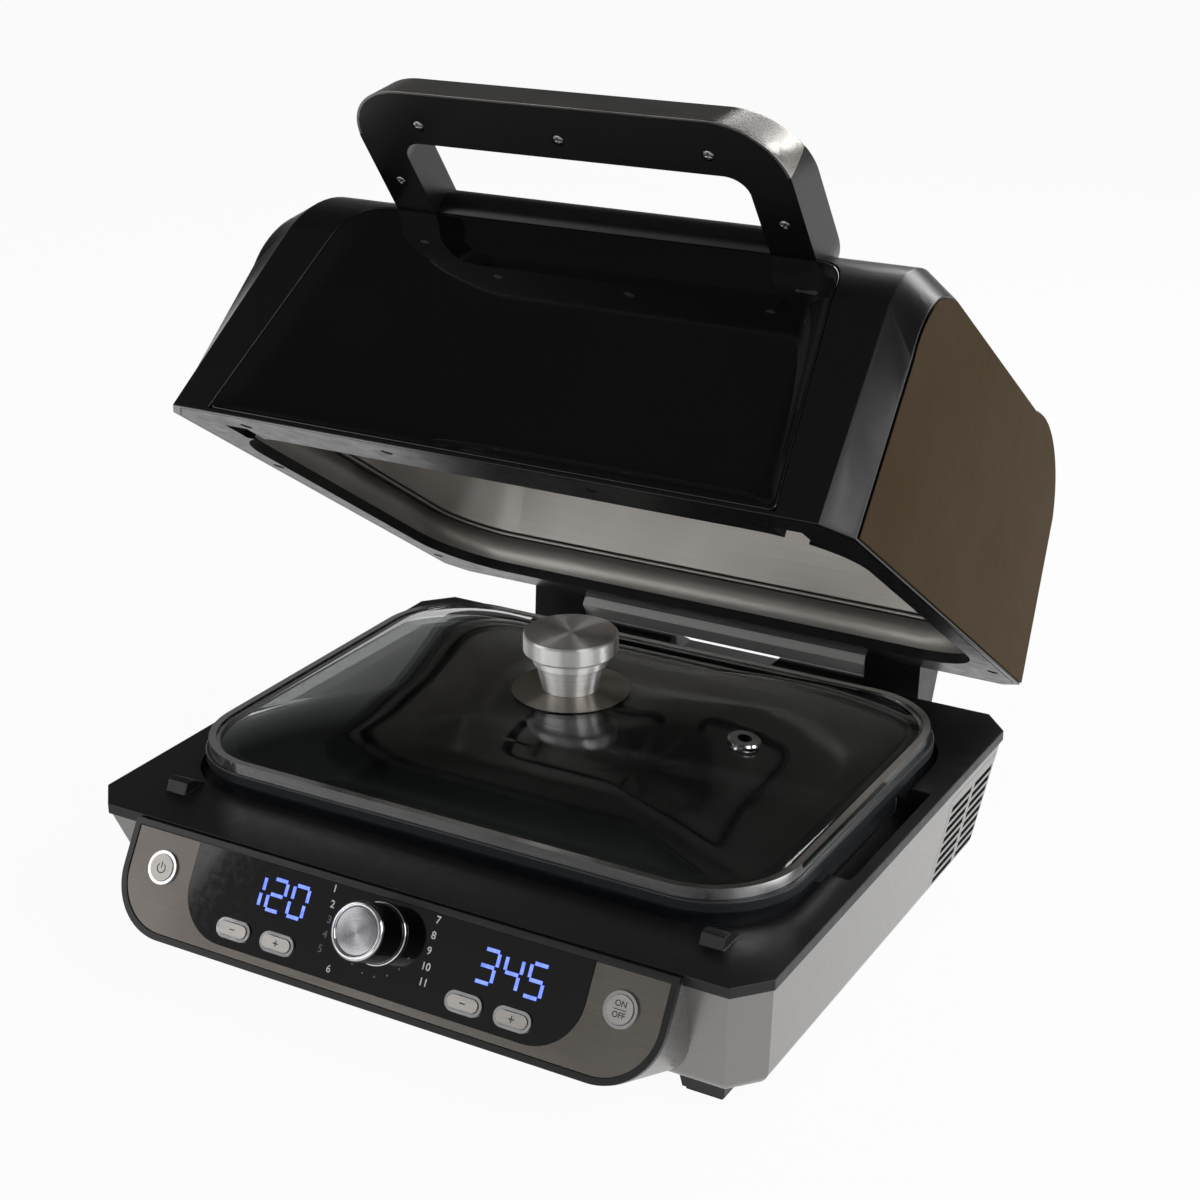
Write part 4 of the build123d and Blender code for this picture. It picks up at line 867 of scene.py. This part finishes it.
class GRILL_OT_panel_marks(bpy.types.Operator):
    """Prints the mode numbers, the index dots and the buttons' signs"""

    bl_idname = "grill.panel_marks"
    bl_label = "Printed marks"

    def execute(self, context):
        height = context.scene.grill_sizes.label_height
        window = "display_window"
        lit = [entry for entry in mode_numbers if entry[0] not in dim_modes]
        dim = [entry for entry in mode_numbers if entry[0] in dim_modes]
        for name, entries, ink in (
                ("mode_numbers_lit", lit, "printed_pale_ink"), ("mode_numbers_dim", dim, "printed_dim_ink")):
            marks = [(letters(str(mode), height), panel_place(window, x, drop)) for mode, x, drop in entries]
            inked(name, marks, window, ink)

        # Dots round the dial's lower half, each a stroke as wide as it is long
        dots = []
        dot_reach = 21.0
        dot_size = 0.9
        for turn in range(200, 341, 20):
            angle = math.radians(turn)
            across, up = dot_reach * math.cos(angle), dot_reach * math.sin(angle)
            dot = stroke(((-dot_size / 2, 0), (dot_size / 2, 0)), dot_size)
            dots.append((dot, panel_place(window, across, dial_drop - up)))
        inked("index_dots", dots, window, "printed_dim_ink")

        # Each sign: its button, how far across and down, and its lines with their widths in mm
        turns = [math.radians(125 + 290 * step / 28) for step in range(29)]
        broken_ring = ([(2.5 * math.cos(turn), 2.5 * math.sin(turn) - 0.3) for turn in turns], 0.55)
        stem = (((0, -0.2), (0, 3.1)), 0.6)
        bar = (((-1.6, 0), (1.6, 0)), 0.6)
        post = (((0, -1.6), (0, 1.6)), 0.6)
        signs = (
            ("power_button", -round_across, round_drop, (broken_ring, stem)),
            ("preset_button", -outer_across, oblong_drop, (bar,)),
            ("heat_button", -inner_across, oblong_drop, (bar, post)),
            ("clock_button", inner_across, oblong_drop, (bar,)),
            ("manual_button", outer_across, oblong_drop, (bar, post)),
        )
        for node, x, drop, lines in signs:
            marks = [(stroke(points, width), panel_place(node, x, drop)) for points, width in lines]
            inked("sign_" + node, marks, node, "printed_dark_ink")

        node = "start_button"
        word_height = 2.9 * MM
        word_shift = 2.7
        marks = [
            (letters("ON", word_height), panel_place(node, round_across, round_drop - word_shift)),
            (stroke(((-3.6, 0), (3.6, 0)), 0.4), panel_place(node, round_across, round_drop)),
            (letters("OFF", word_height), panel_place(node, round_across, round_drop + word_shift))]
        inked("sign_" + node, marks, node, "printed_dark_ink")
        return {"FINISHED"}


class GRILL_OT_dial(bpy.types.Operator):
    """Turns the dial's chrome skirt, its bright ring and its faced aluminium cap"""

    bl_idname = "grill.dial"
    bl_label = "Dial"

    def execute(self, context):
        place = panel_place("dial_trim", 0, dial_drop)
        steps = 72
        low = -21.8
        skirt = [(15.1, low), (16.0, low), (16.0, low + 1.1), (15.6, low + 1.5), (15.1, low + 1.5)]
        ring = [(14.3, -2.6), (14.6, -1.2), (14.3, -0.5), (13.7, -0.1), (12.9, 0.0), (12.3, -0.2)]
        ring += [(12.0, -0.7), (11.9, -1.4)]
        cap = [(11.9, -1.4), (11.8, -0.75), (11.4, -0.6), (7.0, -0.66), (3.0, -0.7), (0.6, -0.7)]
        for name, profile, capped, finish_name in (
                ("dial_skirt", skirt + skirt[:1], False, "chrome_plated_brass"),
                ("dial_ring", ring, False, "chrome_plated_brass"),
                ("dial_cap", cap, True, "turned_dial_aluminium")):
            corners, faces = ring_skin(turned_loops(profile, steps, place), (False, capped))
            piece = mesh_object(name, corners, faces)
            place_piece(piece, "dial", finish_name, ["dial_trim"])
        return {"FINISHED"}


# The handle's front face on the closed lid: up it, out of it, and the place of its middle screw
handle_up = Vector((0, -0.938, 0.347))
handle_out = Vector((0, -0.347, -0.938))
handle_start = Vector((0, -175.5, 166.1)) * MM

# Each screw is so far across the handle and up it, in mm
handle_screw_places = ((0.0, 0.0), (-83.5, 0.0), (83.5, 0.0), (-113.1, -43.7), (113.1, -43.7))


def cross_head(place, radius, rise):
    """A pan head with a cross-shaped recess, as corners and faces, from sizes in mm."""
    count = 48
    slot_half = radius * 0.15
    slot_reach = 0.7
    reaches = (1.0, 0.98, 0.9, 0.78, 0.66, 0.56, 0.48, 0.4, 0.32, 0.25, 0.18, 0.1)
    loops = []
    for reach in reaches:
        loop = []
        for step in range(count):
            turn = 2 * math.pi * step / count
            x = radius * reach * math.cos(turn)
            y = radius * reach * math.sin(turn)
            height = rise * math.sqrt(1 - reach ** 2)
            if min(abs(x), abs(y)) < slot_half and reach < slot_reach:
                height -= 0.9 * (0.75 - reach)
            loop.append(place @ Vector((x * MM, y * MM, height * MM)))
        loops.append(loop)
    return ring_skin(loops, (False, True))


class GRILL_OT_handle_screws(bpy.types.Operator):
    """Makes the cross-headed screws that hold the handle together"""

    bl_idname = "grill.handle_screws"
    bl_label = "Handle screws"

    def execute(self, context):
        radius, rise = 3.3, 1.1
        sunk = -0.75 * MM
        axes = Matrix((Vector((1, 0, 0)), handle_up, handle_out)).transposed().to_4x4()
        corners, faces = [], []
        for x, up in handle_screw_places:
            spot = handle_start + Vector((x, 0, 0)) * MM + handle_up * up * MM + handle_out * sunk
            # Each screw has stopped at a turn of its own
            place = lid_turn @ Matrix.Translation(spot) @ axes @ Matrix.Rotation(0.3 * x, 4, "Z")
            more_corners, more_faces = cross_head(place, radius, rise)
            faces += [tuple(len(corners) + index for index in face) for face in more_faces]
            corners += more_corners
        piece = mesh_object("handle_screw_heads", corners, faces)
        place_piece(piece, "lid", "zinc_screw_steel")
        return {"FINISHED"}


# The photograph's viewpoint in metres and its angles in degrees
camera_place = (0.5544, -0.96157, 0.6287)
camera_angles = (67.89, 0.06, 29.61)

# Each lamp: name, where it hangs, where it points, its width and height in metres, and its watts
studio_lamps = (
    ("key_softbox", (1.75, -0.65, 1.45), (0.0, 0.0, 0.2), 1.2, 1.2, 22.0),
    ("side_strip", (1.8, 0.7, 0.8), (0.15, 0.0, 0.15), 0.5, 1.4, 9.0),
    ("fill_softbox", (-1.6, -1.2, 1.1), (0.0, 0.0, 0.25), 1.2, 1.2, 7.5),
    ("low_card", (-0.5, -1.6, 0.2), (0.0, 0.05, 0.28), 1.4, 0.3, 3.5),
    ("rear_strip", (0.3, 1.6, 1.3), (0.0, 0.0, 0.3), 1.8, 0.4, 16.0),
)


def make_lamp(name, place, target, width, height, watts, level):
    """One soft rectangular lamp that points at a place on the object."""
    light = bpy.data.lights.new(name, "AREA")
    light.shape = "RECTANGLE"
    light.size = width
    light.size_y = height
    light.energy = watts * level
    lamp = new_object(name, light)
    lamp.location = place
    lamp.rotation_euler = (Vector(target) - Vector(place)).to_track_quat("-Z", "Y").to_euler()


# Rays that come from the camera, from a mirroring surface and through glass
ray_kinds = ("Is Camera Ray", "Is Glossy Ray", "Is Transmission Ray")


def make_floor():
    """A pale sheet of seamless paper: white where it is seen, and mirrored brighter behind than in front."""
    reach = 12.0
    seen_share = 0.95
    fibre_mm = 2.0
    corners = [(-reach, -reach, 0), (reach, -reach, 0), (reach, reach, 0), (-reach, reach, 0)]
    floor = mesh_object("paper_floor", corners, [(0, 1, 2, 3)])
    material, tree, place = blank_material("seamless_white_paper")
    fibre = add(tree, "TexNoise", {"Vector": place, "Scale": 1 / fibre_mm, "Detail": 4.0})
    dull, pale = linear("#E6E6E6"), linear("#EEEEEE")
    colour = add(tree, "Mix", {0: fibre, 6: dull, 7: pale}, out=2, data_type="RGBA")
    lit = add(tree, "BsdfDiffuse", {"Color": colour})
    white = add(tree, "Emission", {"Color": (1, 1, 1, 1), "Strength": 1.0})
    seen, mirrored, through = [add(tree, "LightPath", out=kind) for kind in ray_kinds]
    direct = add(tree, "Math", {0: seen, 1: through}, operation="MAXIMUM")
    direct_share = add(tree, "Math", {0: direct, 1: seen_share}, operation="MULTIPLY")
    backwards = add(tree, "SeparateXYZ", {0: place}, out="Y")
    level = add(tree, "MapRange", {
        "Value": backwards, "From Min": -550.0, "From Max": 120.0, "To Min": 0.2, "To Max": 1.0})
    mirror_share = add(tree, "Math", {0: mirrored, 1: level}, operation="MULTIPLY")
    share = add(tree, "Math", {0: direct_share, 1: mirror_share}, operation="MAXIMUM")
    add(tree, "OutputMaterial", {"Surface": add(tree, "MixShader", {0: share, 1: lit, 2: white})})
    finish(floor, material.name)


def make_room(level):
    """The studio round the object: white near the horizon to the front right, darker behind and overhead."""
    world = bpy.data.worlds.new("white_cyclorama")
    bpy.context.scene.world = world
    world.use_nodes = True
    tree = world.node_tree
    tree.nodes.clear()
    direction = add(tree, "TexCoord", out="Generated")
    height = add(tree, "SeparateXYZ", {0: direction}, out="Z")
    front_right = (0.7, -0.7, 0)
    mirrored_level = 0.66
    towards_front = add(
        tree, "VectorMath", {0: direction, 1: front_right}, out="Value", operation="DOT_PRODUCT")
    front_share = add(tree, "MapRange", {
        "Value": towards_front, "From Min": -0.7, "From Max": 0.3, "To Min": 0.3, "To Max": 1.0})
    seen, mirrored, through = [add(tree, "LightPath", out=kind) for kind in ray_kinds]
    shown_in = add(tree, "Math", {0: mirrored, 1: through}, operation="MAXIMUM")
    horizon = add(tree, "Mix", {0: shown_in, 2: level, 3: mirrored_level}, out=0, data_type="FLOAT")
    fade = add(tree, "MapRange", {
        "Value": height, "From Min": 0.1, "From Max": 0.6, "To Min": 1.0, "To Max": 0.2})
    lit_share = add(tree, "Math", {0: fade, 1: front_share}, operation="MULTIPLY")
    room = add(tree, "Math", {0: lit_share, 1: horizon}, operation="MULTIPLY")
    strength = add(tree, "Mix", {0: seen, 2: room, 3: 1.0}, out=0, data_type="FLOAT")
    shown = add(tree, "Background", {"Color": (1, 1, 1, 1), "Strength": strength})
    add(tree, "OutputWorld", {"Surface": shown})


class GRILL_OT_stage(bpy.types.Operator):
    """Makes the pale floor, the soft lamps, the studio round them and the camera"""

    bl_idname = "grill.stage"
    bl_label = "Stage and camera"

    def execute(self, context):
        stage = context.scene.grill_stage
        make_floor()
        make_room(stage.world_level)
        for lamp in studio_lamps:
            make_lamp(*lamp, stage.lamp_level)
        eye = bpy.data.cameras.new("photo_view")
        eye.sensor_width = 36.0
        eye.lens = stage.lens
        camera = new_object("photo_view", eye)
        camera.location = camera_place
        camera.rotation_euler = [math.radians(angle) for angle in camera_angles]
        context.scene.camera = camera
        context.scene.view_settings.view_transform = "Standard"
        return {"FINISHED"}


operators = (
    GRILL_OT_finishes,
    GRILL_OT_casings,
    GRILL_OT_front_panel,
    GRILL_OT_handle_screws,
    GRILL_OT_liner_skirt,
    GRILL_OT_glass_dome,
    GRILL_OT_dial,
    GRILL_OT_panel_marks,
    GRILL_OT_stage,
)


class GRILL_PT_panel(bpy.types.Panel):
    """Lists the steps that dress the grill"""

    bl_idname = "GRILL_PT_panel"
    bl_label = "Grill"
    bl_space_type = "VIEW_3D"
    bl_region_type = "UI"
    bl_category = "Grill"

    def draw(self, context):
        for group in (context.scene.grill_colours, context.scene.grill_sizes, context.scene.grill_stage):
            box = self.layout.box()
            for name in group.__annotations__:
                box.prop(group, name)
        for operator in operators:
            self.layout.operator(operator.bl_idname)


groups = {"grill_colours": GrillColours, "grill_sizes": GrillSizes, "grill_stage": GrillStage}


def register():
    """Registers the classes and hangs the settings on the scene."""
    for item in (*groups.values(), *operators, GRILL_PT_panel):
        bpy.utils.register_class(item)
    for name, group in groups.items():
        setattr(bpy.types.Scene, name, bpy.props.PointerProperty(type=group))


def unregister():
    """Takes the settings and the classes away again."""
    for name in groups:
        delattr(bpy.types.Scene, name)
    for item in reversed((*groups.values(), *operators, GRILL_PT_panel)):
        bpy.utils.unregister_class(item)


def main():
    """Registers the classes, then dresses the frame by running every step in turn."""
    register()
    for operator in operators:
        area, name = operator.bl_idname.split(".")
        getattr(getattr(bpy.ops, area), name)()


if __name__ == "__main__":
    main()
